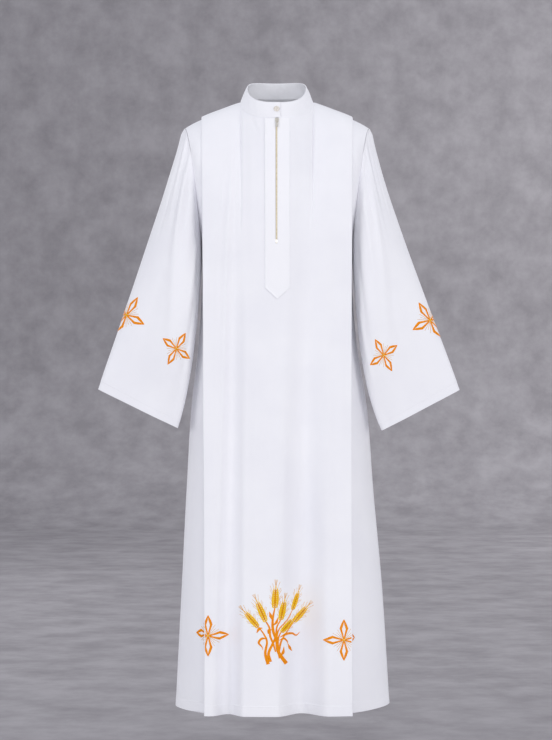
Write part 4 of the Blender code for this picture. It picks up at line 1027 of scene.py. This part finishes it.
def fine_button(look, thread_look):
    """A pearl button with a rounded rim and a low dome, and the shank of thread behind it."""
    qs = np.linspace(0, 0.2, 800)
    heights = np.full_like(qs, BUTTON_UP_COLLAR)
    spots = collar_point(qs, heights)
    i = int(np.argmin(np.abs(spots[:, 0] - BUTTON_X)))
    out = collar_normal(qs[i : i + 1], heights[i : i + 1])[0]
    base = spots[i] + out * (COLLAR_WALL / 2 + SEAM_GAP)
    profile = [(0.00001, 0.0), (BUTTON_RADIUS * BUTTON_FOOT, 0.0)]
    for turn in np.radians(np.linspace(-60, 80, 9)):
        profile.append((BUTTON_RADIUS - RIM + RIM * math.cos(turn), RIM + RIM_RISE * math.sin(turn)))
    for turn in np.radians(np.linspace(12, 89.9, 14)):
        radius = (BUTTON_RADIUS - DOME_INSET) * math.cos(turn)
        profile.append((radius, BUTTON_EDGE - DOME_SINK + BUTTON_DOME * math.sin(turn)))
    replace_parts(revolve("pearl_button", profile, base, out, look), "collar_button")
    revolve("button_thread", SHANK, base, out, thread_look, sides=16)


# ---- embroidery: flat designs in metres, (right, up) from a centre, laid on the cloth
Ribbon = namedtuple("Ribbon", "places heights")
THREAD_PITCH = 0.00048
THREAD_RIDGE = 0.00009
SATIN_RISE = 0.00055
SATIN_EDGE = -0.00025     # the edges dip into the cloth
FINE_THREAD = 0.00085     # of the rays and the awns
ACROSS = np.array([-1.0, -0.72, 0.0, 0.72, 1.0])
ROUNDED = 4               # how squarely a band's section is rounded
RIDGE_WITHIN = 0.9        # its threads' ridges stop short of its edges, at this share of its half width
PATH_CUTS = 40            # of a path, between two of its points
THIN_WIDTH, THIN_RISE = 0.002, 0.25      # a band narrower than this lies flatter, down to this share
LINE_PITCH, LINE_RISE, LINE_HEIGHT = 0.002, 0.0003, 0.8      # of a fine thread, which has none across it


def smooth_path(points, pitch):
    """A Catmull-Rom line through the points, cut evenly."""
    p = np.array(points, float)
    p = np.concatenate([[2 * p[0] - p[1]], p, [2 * p[-1] - p[-2]]])
    t = np.linspace(0, 1, PATH_CUTS, endpoint=False)[:, None]
    parts = []
    for k in range(1, len(p) - 2):
        a, b, c, d = p[k - 1], p[k], p[k + 1], p[k + 2]
        square, cube = 2 * a - 5 * b + 4 * c - d, 3 * b - a - 3 * c + d
        parts.append(0.5 * (2 * b + (c - a) * t + square * t**2 + cube * t**3))
    line = np.concatenate(parts + [p[-2:-1]])
    run = np.concatenate([[0.0], np.cumsum(np.linalg.norm(np.diff(line, axis=0), axis=1))])
    cuts = np.linspace(0, run[-1], max(int(run[-1] / pitch), 3) + 1)
    return np.stack([np.interp(cuts, run, line[:, k]) for k in range(2)], axis=-1)


def ribbon(points, widths, rise=SATIN_RISE, pitch=THREAD_PITCH, slant=0.0):
    """A satin-stitched band along a path: its threads run across it, each a small ridge."""
    line = smooth_path(points, pitch)
    heading = np.gradient(line, axis=0)
    heading = heading / np.linalg.norm(heading, axis=1, keepdims=True)
    side = np.stack([-heading[:, 1], heading[:, 0]], axis=-1) + heading * slant
    share = np.linspace(0, 1, len(line))
    width = np.interp(share, np.linspace(0, 1, len(widths)), widths)
    places = line[:, None, :] + side[:, None, :] * (ACROSS[None, :, None] * width[:, None, None] / 2)
    thin = np.clip(width / THIN_WIDTH, THIN_RISE, 1)[:, None]
    heights = SATIN_EDGE + (rise - SATIN_EDGE) * (1 - ACROSS[None, :] ** ROUNDED) * thin
    ridge = THREAD_RIDGE * np.where(np.arange(len(line)) % 2, 1, -1)[:, None] * (pitch < LINE_PITCH)
    return Ribbon(places, heights + ridge * (np.abs(ACROSS) < RIDGE_WITHIN))


def thread_line(start, end, thick=FINE_THREAD):
    """One fine straight thread."""
    return ribbon([start, end], [thick, thick], rise=thick * LINE_HEIGHT + LINE_RISE, pitch=LINE_PITCH)


def polar(angle, reach):
    return np.array([math.cos(angle), math.sin(angle)]) * reach


CROSS_REACH = 0.0500      # centre to a petal's tip
PETAL_WIDEST, PETAL_HALF = 0.55, 0.0076
PETAL_START = 0.0022
BAND_INNER, BAND_OUTER = (0.0034, 0.0064), (0.0072, 0.0066, 0.0016)
RAYS = (0.0240, 0.0300, 0.0250, 0.0320, 0.0225)
RAY_SPREAD = math.radians(52)
PETAL_GAP = 0.0005        # half the gap between a petal's two bands at its foot
PETAL_SLANT, KERNEL_SLANT = 0.3, 0.5     # how far a band's threads lean
RAY_START, KNOT_HALF, KNOT_TURN, KNOT_RISE = 0.0045, 0.0026, 2.1, 0.0014
KNOT_WIDTHS = (0.0010, 0.0040)           # of each band in the knot, at its ends and its middle


def cross_design(turn, reach=CROSS_REACH, squeeze=1.0):
    """Four hollow kite petals with fine rays between them, round a small knot."""
    scale = reach / CROSS_REACH
    petals, rays, knots = [], [], []
    for k in range(4):
        angle = turn + k * math.pi / 2
        along_axis, aside = polar(angle, 1.0), polar(angle + math.pi / 2, 1.0)
        for hand in (-1, 1):
            start = along_axis * PETAL_START * scale + aside * hand * PETAL_GAP
            corner = along_axis * reach * PETAL_WIDEST + aside * hand * PETAL_HALF * scale
            slant = PETAL_SLANT * hand
            petals.append(ribbon([start, corner], [w * scale for w in BAND_INNER], slant=slant))
            petals.append(ribbon([corner, along_axis * reach], [w * scale for w in BAND_OUTER], slant=-slant))
        for j, length in enumerate(RAYS):
            ray = angle + math.pi / 4 + (j / (len(RAYS) - 1) - 0.5) * RAY_SPREAD
            rays.append(thread_line(polar(ray, RAY_START * scale), polar(ray, length * scale)))
    for k in range(3):
        end, (thin, wide) = polar(turn + k * KNOT_TURN, KNOT_HALF * scale), KNOT_WIDTHS
        knots.append(ribbon([end, -end], [thin, wide * scale, thin], rise=KNOT_RISE))
    across = np.array([squeeze, 1.0])
    parts = (petals, rays, knots)
    return [[Ribbon(piece.places * across, piece.heights) for piece in part] for part in parts]


# The wheat: ears, stalks and leaves, in millimetres from the place where the stalks cross.
Ear = namedtuple("Ear", "x y lean length width")
EARS = [Ear(*row) for row in (
    (-2, 75, 3, 54, 17), (-23, 42, -24, 58, 15), (-41, 29, -42, 53, 14),
    (12, 46, 11, 51, 15), (41, 68, 18, 48, 11), (44, 38, 42, 53, 14),
    (13, 17, 45, 43, 13),
)]
Stalk = namedtuple("Stalk", "points widths")
STALKS = (
    Stalk(((-2, 76), (-7, 48), (-6, 22), (2, -2), (6, -28), (26, -60)), (2, 3.6, 4.4, 4.2, 4.6, 5.6)),
    Stalk(((-23, 43), (-15, 28), (-13, 8), (-5, -12), (0, -30)), (1.8, 3.2, 3.4, 3, 2)),
    Stalk(((-41, 30), (-28, 12), (-21, -6), (-25, -34), (-18, -60)), (1.6, 2.6, 3.4, 4.2, 5.4)),
    Stalk(((12, 47), (3, 30), (1, 8), (-9, -14), (-17, -34), (-13, -54)), (1.8, 2.6, 3.2, 3.6, 4.2, 5.2)),
    Stalk(((41, 69), (28, 46), (9, 26), (3, 2), (5, -24)), (1, 1.4, 1.8, 2.6, 3)),
    Stalk(((44, 39), (28, 18), (14, -4), (8, -30), (9, -46)), (1.2, 1.8, 2.4, 3.4, 2)),
    Stalk(((13, 18), (7, 4), (6, -18)), (1.6, 2.4, 2.2)),
)
LEAVES = (
    Stalk(((-8, 48), (-12, 58), (-15, 68)), (1.5, 5, 0.6)),
    Stalk(((-6, 34), (2, 42), (6, 54)), (1.2, 4.2, 0.6)),
    Stalk(((-18, 14), (-17, 22), (-9, 24)), (1.4, 4, 0.8)),
    Stalk(((-22, 2), (-34, 2), (-41, -8), (-33, -18), (-31, -26)), (1.2, 3.4, 3.6, 2.2, 0.5)),
    Stalk(((-46, 16), (-40, 26), (-32, 28)), (0.8, 4.4, 0.8)),
    Stalk(((11, 6), (26, 12), (40, 12), (50, 6), (60, 14)), (0.8, 3.8, 3.2, 2.2, 0.4)),
    Stalk(((9, -2), (20, 2), (28, -6), (30, -14)), (0.8, 3, 2.2, 0.6)),
    Stalk(((30, -12), (34, -22), (40, -32)), (0.6, 4.2, 0.4)),
    Stalk(((9, -42), (18, -32), (20, -18)), (0.8, 4.6, 0.5)),
)
KERNEL_LEAN = math.radians(24)
KERNEL_LONG, KERNEL_OUT, KERNEL_BOW = 0.92, 0.92, 0.16   # its tip and its bow, as shares
KERNEL_FOOT = 0.14        # where it starts, as a share of the ear's half width
KERNEL_STAGGER = 0.02     # the viewer's right kernel of a pair sits this share of the ear higher
KERNEL_LAP = 1.45         # a kernel's length, in pairs
AWN_LENGTHS = (15, 20, 13, 18, 16, 22, 14)       # in millimetres
CROWN_LEANS, CROWN_AWN = (-9, -3, 4, 10), 0.017
PAIRS = 9                 # of kernels in an ear
GRAINS_END = 0.86         # the kernels reach this share of the ear, below its crown
BED_SHARES, BED_WIDTHS = (0.03, 0.35, 0.70, 0.97), (0.35, 0.95, 0.80, 0.15)      # of the dark bed behind them
MM = 0.001
STALK_FULL = 1.85         # how much fuller the stalks and leaves are than their table says


def ear_design(ear):
    """Kernels in pairs up an ear's axis, each with a fine awn past its tip."""
    angle = math.pi / 2 - math.radians(ear.lean)
    axis, aside = polar(angle, 1.0), polar(angle - math.pi / 2, 1.0)
    base = np.array([ear.x, ear.y]) * MM
    length, half = ear.length * MM, ear.width * MM / 2
    size = length / PAIRS * KERNEL_LAP
    bed = [base + axis * length * share for share in BED_SHARES]
    grains, hearts, awns = [], [ribbon(bed, [half * w for w in BED_WIDTHS], rise=0.0003)], []
    for k in range(PAIRS):
        share = (k + 0.2) / PAIRS
        swell = math.sin(math.pi * (0.24 + 0.68 * share)) ** 0.9
        for hand in (-1, 1):
            out = aside * hand * half
            rise = share * GRAINS_END + KERNEL_STAGGER * (hand > 0)
            foot = base + axis * length * rise + out * KERNEL_FOOT
            tip = foot + axis * size * KERNEL_LONG + out * KERNEL_OUT * swell
            middle = (foot + tip) / 2 + out * KERNEL_BOW
            grains.append(ribbon([foot, middle, tip], [0.0014, half * 0.50 * swell + 0.0015, 0.0008],
                                 rise=0.0011, slant=KERNEL_SLANT * hand))
            reach = AWN_LENGTHS[(k * 2 + (hand > 0)) % len(AWN_LENGTHS)] * MM * (0.55 + 0.35 * share)
            spread = KERNEL_LEAN * hand * (1.75 - 1.10 * share)
            if k % 3 != 1:
                awns.append(thread_line(tip, tip + polar(angle - spread, reach)))
        heart = base + axis * length * (share * GRAINS_END + 0.05)
        hearts.append(ribbon([heart, heart + axis * size * 0.50], [0.0006, 0.0016, 0.0004], rise=0.0012))
    crown, top = base + axis * length * 0.90, length * 0.10
    grains.append(ribbon([crown, crown + axis * length * 0.16], [0.0010, half * 0.46, 0.0005], rise=0.0015))
    for lean in CROWN_LEANS:
        tip = polar(angle + math.radians(lean), top + CROWN_AWN)
        awns.append(thread_line(crown + axis * top, crown + tip))
    return grains, hearts, awns


def band(stalk):
    return ribbon([(x * MM, y * MM) for x, y in stalk.points], [w * MM * STALK_FULL for w in stalk.widths])


# ---- laying a design on the cloth
PLACE_GRID, PLACE_STEPS = 140, 8         # a coarse search, then steps towards the place
PLACE_STRIDE, PLACE_FLAT = 0.05, 1e-5    # the longest step, and a slope too flat to follow


def find_place(surface, x, z, p_range, q_range):
    """The place (p, q) of a surface that shows at x and z from straight ahead."""
    p, q = np.meshgrid(np.linspace(*p_range, PLACE_GRID), np.linspace(*q_range, PLACE_GRID))
    point = surface(p, q)
    miss = (point[..., 0] - x) ** 2 + (point[..., 2] - z) ** 2
    i = np.unravel_index(np.argmin(miss), miss.shape)
    place = np.array([p[i], q[i]])
    for _ in range(PLACE_STEPS):
        here = surface(place[0], place[1])
        dp = (surface(place[0] + STEP, place[1]) - here) / STEP
        dq = (surface(place[0], place[1] + STEP) - here) / STEP
        jacobian = np.array([[dp[0], dq[0]], [dp[2], dq[2]]])
        if abs(np.linalg.det(jacobian)) < PLACE_FLAT:
            break
        move = np.linalg.solve(jacobian, [x - here[0], z - here[2]])
        place = place + np.clip(move, -PLACE_STRIDE, PLACE_STRIDE)
    return place


CHART_ROOM = 1.08         # a chart reaches this much farther than its design
MOST_SPREAD = 1.45        # how far a design widens where the cloth turns away, to show at its full width


def chart(surface, start, outward, reach, cells=22, steps=14):
    """Places (p, q) on an even square grid of (right, up) distances from a start, walked over the surface."""
    marks = np.linspace(-reach, reach, cells + 1)
    right_by, up_by = [axis.ravel() for axis in np.meshgrid(marks, marks, indexing="ij")]
    p, q = np.full(right_by.shape, start[0]), np.full(right_by.shape, start[1])
    for _ in range(steps):
        normal = surface_normal(surface, p, q) * outward
        up = unit(np.array([0, 0, 1.0]) - normal * normal[..., 2:3])
        right = np.cross(up, normal)
        spread = np.clip(1 / np.maximum(right[..., 0], 0.01), 1, MOST_SPREAD)
        dp = (surface(p + STEP, q) - surface(p - STEP, q)) / (2 * STEP)
        dq = (surface(p, q + STEP) - surface(p, q - STEP)) / (2 * STEP)
        move = (right * (right_by * spread)[:, None] + up * up_by[:, None]) / steps
        g11, g12, g22 = [np.sum(a * b, axis=-1) for a, b in ((dp, dp), (dp, dq), (dq, dq))]
        r1, r2 = np.sum(dp * move, axis=-1), np.sum(dq * move, axis=-1)
        det = np.maximum(g11 * g22 - g12 * g12, 1e-12)
        p, q = p + (g22 * r1 - g12 * r2) / det, q + (g11 * r2 - g12 * r1) / det
    return p.reshape(cells + 1, cells + 1), q.reshape(cells + 1, cells + 1), reach, cells


def read_chart(made, places):
    """The (p, q) of flat (right, up) places, between the chart's cells."""
    p, q, reach, cells = made
    t = np.clip((places + reach) / (2 * reach) * cells, 0, cells - 1e-6)
    i = t.astype(int)
    f = t - i
    a, b = i[..., 0], i[..., 1]
    values = []
    for grid in (p, q):
        low = mix(grid[a, b], grid[a, b + 1], f[..., 1])
        high = mix(grid[a + 1, b], grid[a + 1, b + 1], f[..., 1])
        values.append(mix(low, high, f[..., 0]))
    return values


def lay(name, ribbons, ground, look):
    """Makes one mesh of satin bands. ground(places) gives one (points, normals, inside) for each layer of
    cloth, and a band is made on every layer that any of it is inside."""
    points, faces, base = [], [], 0
    for piece in ribbons:
        rows, cols = piece.heights.shape
        for point, normal, inside in ground(piece.places):
            quads = grid_faces(rows, cols)
            quads = quads[inside.reshape(-1)[quads].any(axis=1)]
            if len(quads):
                points.append((point + normal * piece.heights[..., None]).reshape(-1, 3))
                faces.append(quads + base)
                base += rows * cols
    add_piece(name, np.concatenate(points), np.concatenate(faces), look)


def chart_ground(surface, made, outward):
    def ground(places):
        p, q = read_chart(made, places)
        normal = surface_normal(surface, p, q) * outward
        return [(surface(p, q) + normal * CLOTH / 2, normal, np.ones(p.shape, bool))]
    return ground


WRAP = {LEFT: 0.55, RIGHT: 0.30}    # how much of a width shows past a pressed edge, on the side panel
EDGE_TURN = 0.35          # the middle panel's cloth ends this many pleat radii short of its edge
SIDE_PLACES = np.linspace(0.0, 0.9, 40)


def hem_ground(x_centre, z_centre):
    """The gown's front seen from straight ahead: the middle panel, and the side panel past its edge."""
    side = LEFT if x_centre < 0 else RIGHT

    def outer(q, v):
        return pleat(FRONT, side, 4, q, v) + vec(0, -SEAM_GAP / 2, 0)

    def ground(places):
        x, v = x_centre + places[..., 0], row_at(z_centre + places[..., 1])
        edge = edge_half(side, v) - PLEAT_RADIUS * EDGE_TURN
        past = side * x > edge
        near = np.where(past, side * edge, x)
        normal = front_normal(near, v)
        layers = [(front_surface(near, v) + normal * CLOTH / 2, normal, ~past)]
        if past.any():
            run = side * pleat(FRONT, side, 4, SIDE_PLACES[:, None], v.reshape(1, -1))[..., 0]
            target = (edge + np.maximum(side * x - edge, 0) * WRAP[side]).reshape(-1)
            found = np.array([np.interp(target[k], run[:, k], SIDE_PLACES) for k in range(len(target))])
            found = found.reshape(v.shape)
            normal = surface_normal(outer, found, v)
            normal = normal * -np.sign(normal[..., 1:2])
            layers.append((outer(found, v) + normal * CLOTH / 2, normal, past))
        return layers

    return ground


def front_surface(x, v):
    """The middle of the front panel's cloth, with its creases."""
    point = on_front(x, v)
    return point + front_normal(x, v) * gown_relief(FRONT, point)[..., None]


SleeveCross = namedtuple("SleeveCross", "side x z turn reach squeeze")
SLEEVE_CROSSES = (
    SleeveCross(LEFT, -0.3745, -0.5345, -26, 0.051, 1),
    SleeveCross(LEFT, -0.248, -0.6185, -33, 0.0465, 0.86),
    SleeveCross(RIGHT, 0.381, -0.5475, 27, 0.051, 1),
    SleeveCross(RIGHT, 0.263, -0.6345, 32, 0.0465, 0.86),
)
HemCross = namedtuple("HemCross", "x z")
HEM_CROSSES = (HemCross(x=-0.1685, z=-1.3210), HemCross(x=0.1635, z=-1.3310))
WHEAT_X, WHEAT_Z = -0.0035, -1.3290


def embroider_cross(name, ground, turn, reach, looks, squeeze=1.0):
    petals, rays, knots = cross_design(turn, reach, squeeze)
    lay(name + "_petals", petals, ground, looks.orange)
    lay(name + "_rays", rays, ground, looks.pale_gold)
    lay(name + "_knot", knots, ground, looks.gold)


def embroidery(looks):
    for k, cross in enumerate(SLEEVE_CROSSES):
        surface = partial(sleeve_surface, cross.side)
        start = find_place(surface, cross.x, cross.z, (0.0, math.pi), (0.3, 0.95))
        outward = 1 if surface_normal(surface, *start)[1] < 0 else -1
        ground = chart_ground(surface, chart(surface, start, outward, cross.reach * CHART_ROOM), outward)
        turn = math.radians(cross.turn)
        embroider_cross(f"sleeve_cross_{k + 1}", ground, turn, cross.reach, looks, cross.squeeze)
    for k, cross in enumerate(HEM_CROSSES):
        embroider_cross(f"hem_cross_{k + 1}", hem_ground(cross.x, cross.z), 0.0, CROSS_REACH, looks)
    ground = hem_ground(WHEAT_X, WHEAT_Z)
    lay("wheat_stalks", [band(stalk) for stalk in STALKS], ground, looks.orange)
    lay("wheat_leaves", [band(leaf) for leaf in LEAVES], ground, looks.orange)
    ears = zip(*[ear_design(ear) for ear in EARS])
    golds = (looks.gold, looks.dark_gold, looks.pale_gold)
    for name, look, parts in zip(("grains", "hearts", "awns"), golds, ears):
        lay("wheat_" + name, sum(parts, []), ground, look)


# ---- materials
def srgb(red, green, blue):
    """A colour from its usual 0 to 255 values."""
    shares = [value / 255 for value in (red, green, blue)]
    linear = [share / 12.92 if share <= 10 / 255 else ((share + 0.055) / 1.055) ** 2.4 for share in shares]
    return (*linear, 1.0)


def add_node(near, kind, **settings):
    """A new node in another one's tree, with its settings and the values of its inputs."""
    node = near.id_data.nodes.new("ShaderNode" + kind)
    for key, value in settings.items():
        if hasattr(node, key):
            setattr(node, key, value)
        else:
            node.inputs[key.replace("_", " ")].default_value = value
    return node


def join(source, output, target, entry):
    source.id_data.links.new(source.outputs[output], target.inputs[entry])


def principled(name, **settings):
    """A new material, its shader, and a node that gives places on the object."""
    made = bpy.data.materials.new(name)
    made.use_nodes = True
    shader = made.node_tree.nodes["Principled BSDF"]
    for key, value in settings.items():
        shader.inputs[key.replace("_", " ")].default_value = value
    return made, shader, add_node(shader, "TexCoord")


def colour_between(shader, source, low, high, ends=(0.0, 1.0)):
    ramp = add_node(shader, "ValToRGB")
    for stop, place, colour in zip(ramp.color_ramp.elements, ends, (low, high)):
        stop.position, stop.color = place, srgb(*colour)
    join(source, "Fac", ramp, "Fac")
    join(ramp, "Color", shader, "Base Color")


def blended_colour(shader, at, scale, low, high, detail=3.0, roughness=0.5):
    """A slow change between two close colours."""
    noise = add_node(shader, "TexNoise", Scale=scale, Detail=detail, Roughness=roughness)
    join(at, "Object", noise, "Vector")
    colour_between(shader, noise, low, high, (0.35, 0.65))
    return noise


def bump(shader, source, distance, strength, output="Fac"):
    node = add_node(shader, "Bump", Strength=strength, Distance=distance)
    join(source, output, node, "Height")
    join(node, "Normal", shader, "Normal")


WAVE_PERIOD = math.pi / 10       # of Blender's wave texture at scale 1
YARN_PITCH, TAPE_PITCH = 0.00058, 0.0009
SLUB_SCALE = (160.0, 1400.0, 1.0)


def woven_cloth(name, low, high):
    """A plain weave on the cloth's own measure, with the slubs of its yarns."""
    made, shader, at = principled(name, Roughness=0.86, Sheen_Weight=0.12, Sheen_Roughness=0.45,
                                  Specular_IOR_Level=0.25)
    blended_colour(shader, at, 7.0, low, high)
    cloth = add_node(shader, "UVMap", uv_map="cloth")
    weave = add_node(shader, "Math", operation="MAXIMUM")
    for k, direction in enumerate("XY"):
        wave = add_node(shader, "TexWave", bands_direction=direction, Scale=WAVE_PERIOD / YARN_PITCH,
                        Distortion=0.6, Detail_Scale=0.4)
        join(cloth, "UV", wave, "Vector")
        join(wave, "Fac", weave, k)
    stretch = add_node(shader, "Mapping", Scale=SLUB_SCALE)
    slub = add_node(shader, "TexNoise", Scale=1.0, Detail=2.0)
    join(cloth, "UV", stretch, "Vector")
    join(stretch, "Vector", slub, "Vector")
    total = add_node(shader, "Math", operation="ADD")
    join(weave, 0, total, 0)
    join(slub, "Fac", total, 1)
    bump(shader, total, 0.00006, 0.5, output=0)
    return made


def thread(name, low, high, roughness=0.42, sheen=0.0):
    """Embroidery or sewing thread: a soft gloss, and slightly uneven dye."""
    made, shader, at = principled(name, Roughness=roughness, Sheen_Weight=sheen, Sheen_Roughness=0.35,
                                  Specular_IOR_Level=0.12)
    bump(shader, blended_colour(shader, at, 260.0, low, high), 0.00010, 0.4)
    return made


def tape_weave(name):
    made, shader, at = principled(name, Roughness=0.78)
    blended_colour(shader, at, 60.0, (234, 226, 206), (242, 235, 218))
    wave = add_node(shader, "TexWave", bands_direction="Z", Scale=WAVE_PERIOD / TAPE_PITCH, Distortion=1.0)
    join(at, "Object", wave, "Vector")
    bump(shader, wave, 0.00008, 0.6)
    return made


def cream_plastic(name):
    made, shader, at = principled(name, Roughness=0.38)
    bump(shader, blended_colour(shader, at, 180.0, (228, 216, 184), (240, 230, 204)), 0.00004, 0.5)
    return made


def cast_nickel(name):
    """Plated casting: bright, with fine rub marks and a duller bloom."""
    made, shader, at = principled(name, Roughness=0.34, Metallic=0.85)
    blended_colour(shader, at, 320.0, (214, 210, 200), (234, 230, 220))
    marks = add_node(shader, "TexNoise", Scale=900.0, Detail=4.0)
    dull = add_node(shader, "MapRange", To_Min=0.28, To_Max=0.46)
    join(at, "Object", marks, "Vector")
    join(marks, "Fac", dull, "Value")
    join(dull, "Result", shader, "Roughness")
    bump(shader, marks, 0.00002, 0.6)
    return made


def mother_of_pearl(name):
    """Pearl: pale bands under a clear coat."""
    made, shader, at = principled(name, Roughness=0.25, Coat_Weight=0.6, Coat_Roughness=0.08)
    wave = add_node(shader, "TexWave", Scale=70.0, Distortion=9.0, Detail=3.0, Detail_Scale=2.0)
    join(at, "Object", wave, "Vector")
    colour_between(shader, wave, (214, 206, 196), (240, 234, 226))
    return made


def plaster(name, low, high, scale):
    """A mottled studio surface."""
    made, shader, at = principled(name, Roughness=0.9, Specular_IOR_Level=0.2)
    blended_colour(shader, at, scale, low, high, detail=9.0, roughness=0.66)
    return made


Looks = namedtuple("Looks", "cloth facing thread orange gold dark_gold pale_gold tape coil nickel pearl")


def make_looks():
    return Looks(
        cloth=woven_cloth("white_weave", (243, 243, 248), (247, 247, 251)),
        facing=woven_cloth("facing_weave", (248, 248, 252), (251, 251, 254)),
        thread=thread("white_thread", (238, 238, 244), (248, 248, 251), roughness=0.55, sheen=0.1),
        orange=thread("orange_thread", (236, 136, 0), (250, 157, 4)),
        gold=thread("gold_thread", (242, 184, 0), (253, 212, 22)),
        dark_gold=thread("dark_gold_thread", (214, 134, 2), (230, 156, 8)),
        pale_gold=thread("pale_gold_thread", (214, 146, 14), (232, 172, 34)),
        tape=tape_weave("zip_tape_weave"),
        coil=cream_plastic("cream_coil"),
        nickel=cast_nickel("cast_nickel"),
        pearl=mother_of_pearl("mother_of_pearl"),
    )


# ---- studio
FLOOR_Z = -1.660
WALL_Y, WALL_BEND, WALL_TOP = 9.6, 1.4, 5.0      # the wall stands farther out than any camera round the robe
SWEEP_HALF = 14.0
CAMERA_AT = (-0.00245, -5.65, -0.671)
CAMERA_LENS, CAMERA_END = 109.2, 60.0
AIR, AIR_STRENGTH = (0.93, 0.94, 1.0, 1.0), 0.76
ROBE, WALL = (0.0, 0.0, -0.95), (1.4, 9.6, -0.6)         # what the lamps are turned to
WHITE, WARM, COOL = (1.0, 1.0, 1.0), (1.0, 0.99, 0.97), (0.98, 0.99, 1.0)
Lamp = namedtuple("Lamp", "name place aim size watts tint")
LAMPS = (
    Lamp("key", (3.5, -4.0, -0.6), ROBE, 2.0, 49, WARM),
    Lamp("fill", (-3.9, -3.6, -0.2), ROBE, 2.6, 45, COOL),
    Lamp("front", (0.2, -6.6, -0.2), ROBE, 2.0, 62, WHITE),
    Lamp("rear_left", (-3.4, 4.6, 0.9), ROBE, 2.2, 36, COOL),
    Lamp("rear_right", (3.4, 4.6, 0.9), ROBE, 2.2, 36, WARM),
    Lamp("back_wall", (2.6, 6.6, 1.2), WALL, 2.6, 46, WHITE),
)


def studio():
    turns = np.radians(np.linspace(6, 90, 15))
    at_y, at_z = WALL_Y - WALL_BEND, FLOOR_Z + WALL_BEND
    bend = [(at_y + WALL_BEND * math.sin(turn), at_z - WALL_BEND * math.cos(turn)) for turn in turns]
    profile = [(-SWEEP_HALF, FLOOR_Z), (at_y, FLOOR_Z)] + bend + [(WALL_Y, WALL_TOP)]
    points = [(x, y, z) for y, z in profile for x in (-SWEEP_HALF, SWEEP_HALF)]
    mesh = bpy.data.meshes.new("studio_sweep")
    mesh.from_pydata(points, [], [(2 * k, 2 * k + 1, 2 * k + 3, 2 * k + 2) for k in range(len(profile) - 1)])
    mesh.shade_smooth()
    mesh.materials.append(plaster("studio_floor", (150, 147, 151), (172, 169, 173), 5.0))
    link_object("studio_sweep", mesh)


def light_and_camera():
    for lamp in LAMPS:
        data = bpy.data.lights.new(lamp.name, "AREA")
        data.shape, data.size, data.energy, data.color = "DISK", lamp.size, lamp.watts, lamp.tint
        made = link_object(lamp.name, data)
        made.location = lamp.place
        made.visible_camera = False    # a lamp opposite the camera doesn't show behind the robe
        made.rotation_euler = (Vector(lamp.aim) - Vector(lamp.place)).to_track_quat("-Z", "Y").to_euler()
    world = bpy.data.worlds.new("studio_air")
    world.use_nodes = True
    air = world.node_tree.nodes["Background"]
    air.inputs["Color"].default_value, air.inputs["Strength"].default_value = AIR, AIR_STRENGTH
    bpy.context.scene.world = world
    data = bpy.data.cameras.new("view")
    data.sensor_fit, data.sensor_width, data.lens, data.clip_end = "AUTO", 36.0, CAMERA_LENS, CAMERA_END
    camera = link_object("view", data)
    camera.location = CAMERA_AT
    camera.rotation_euler = (math.pi / 2, 0.0, 0.0)
    bpy.context.scene.camera = camera
    bpy.context.scene.view_settings.view_transform = "Standard"


def dress(looks):
    front = gown("gown_front", FRONT, looks.cloth, slit=True)
    back = gown("gown_back", BACK, looks.cloth, slit=False)
    sleeves = [fine_sleeve("sleeve_shell_left", LEFT, looks.cloth),
               fine_sleeve("sleeve_shell_right", RIGHT, looks.cloth)]
    band_of_collar = fine_collar(looks.cloth)
    placket = fine_placket(looks.facing)
    for sew in (hem_stitching, cuff_stitching, collar_stitching, placket_stitching):
        sew(looks.thread)
    zip_teeth(looks.coil)
    fine_button(looks.pearl, looks.thread)
    embroidery(looks)


def finish_metal_and_tape(looks):
    for node in ("zip_tape_left", "zip_tape_right", "zip_stop", "zip_slider", "zip_pull_tab"):
        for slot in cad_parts[node].material_slots:
            slot.material = looks.tape if "tape" in node else looks.nickel


def main():
    looks = make_looks()
    dress(looks)
    finish_metal_and_tape(looks)
    studio()
    light_and_camera()


main()
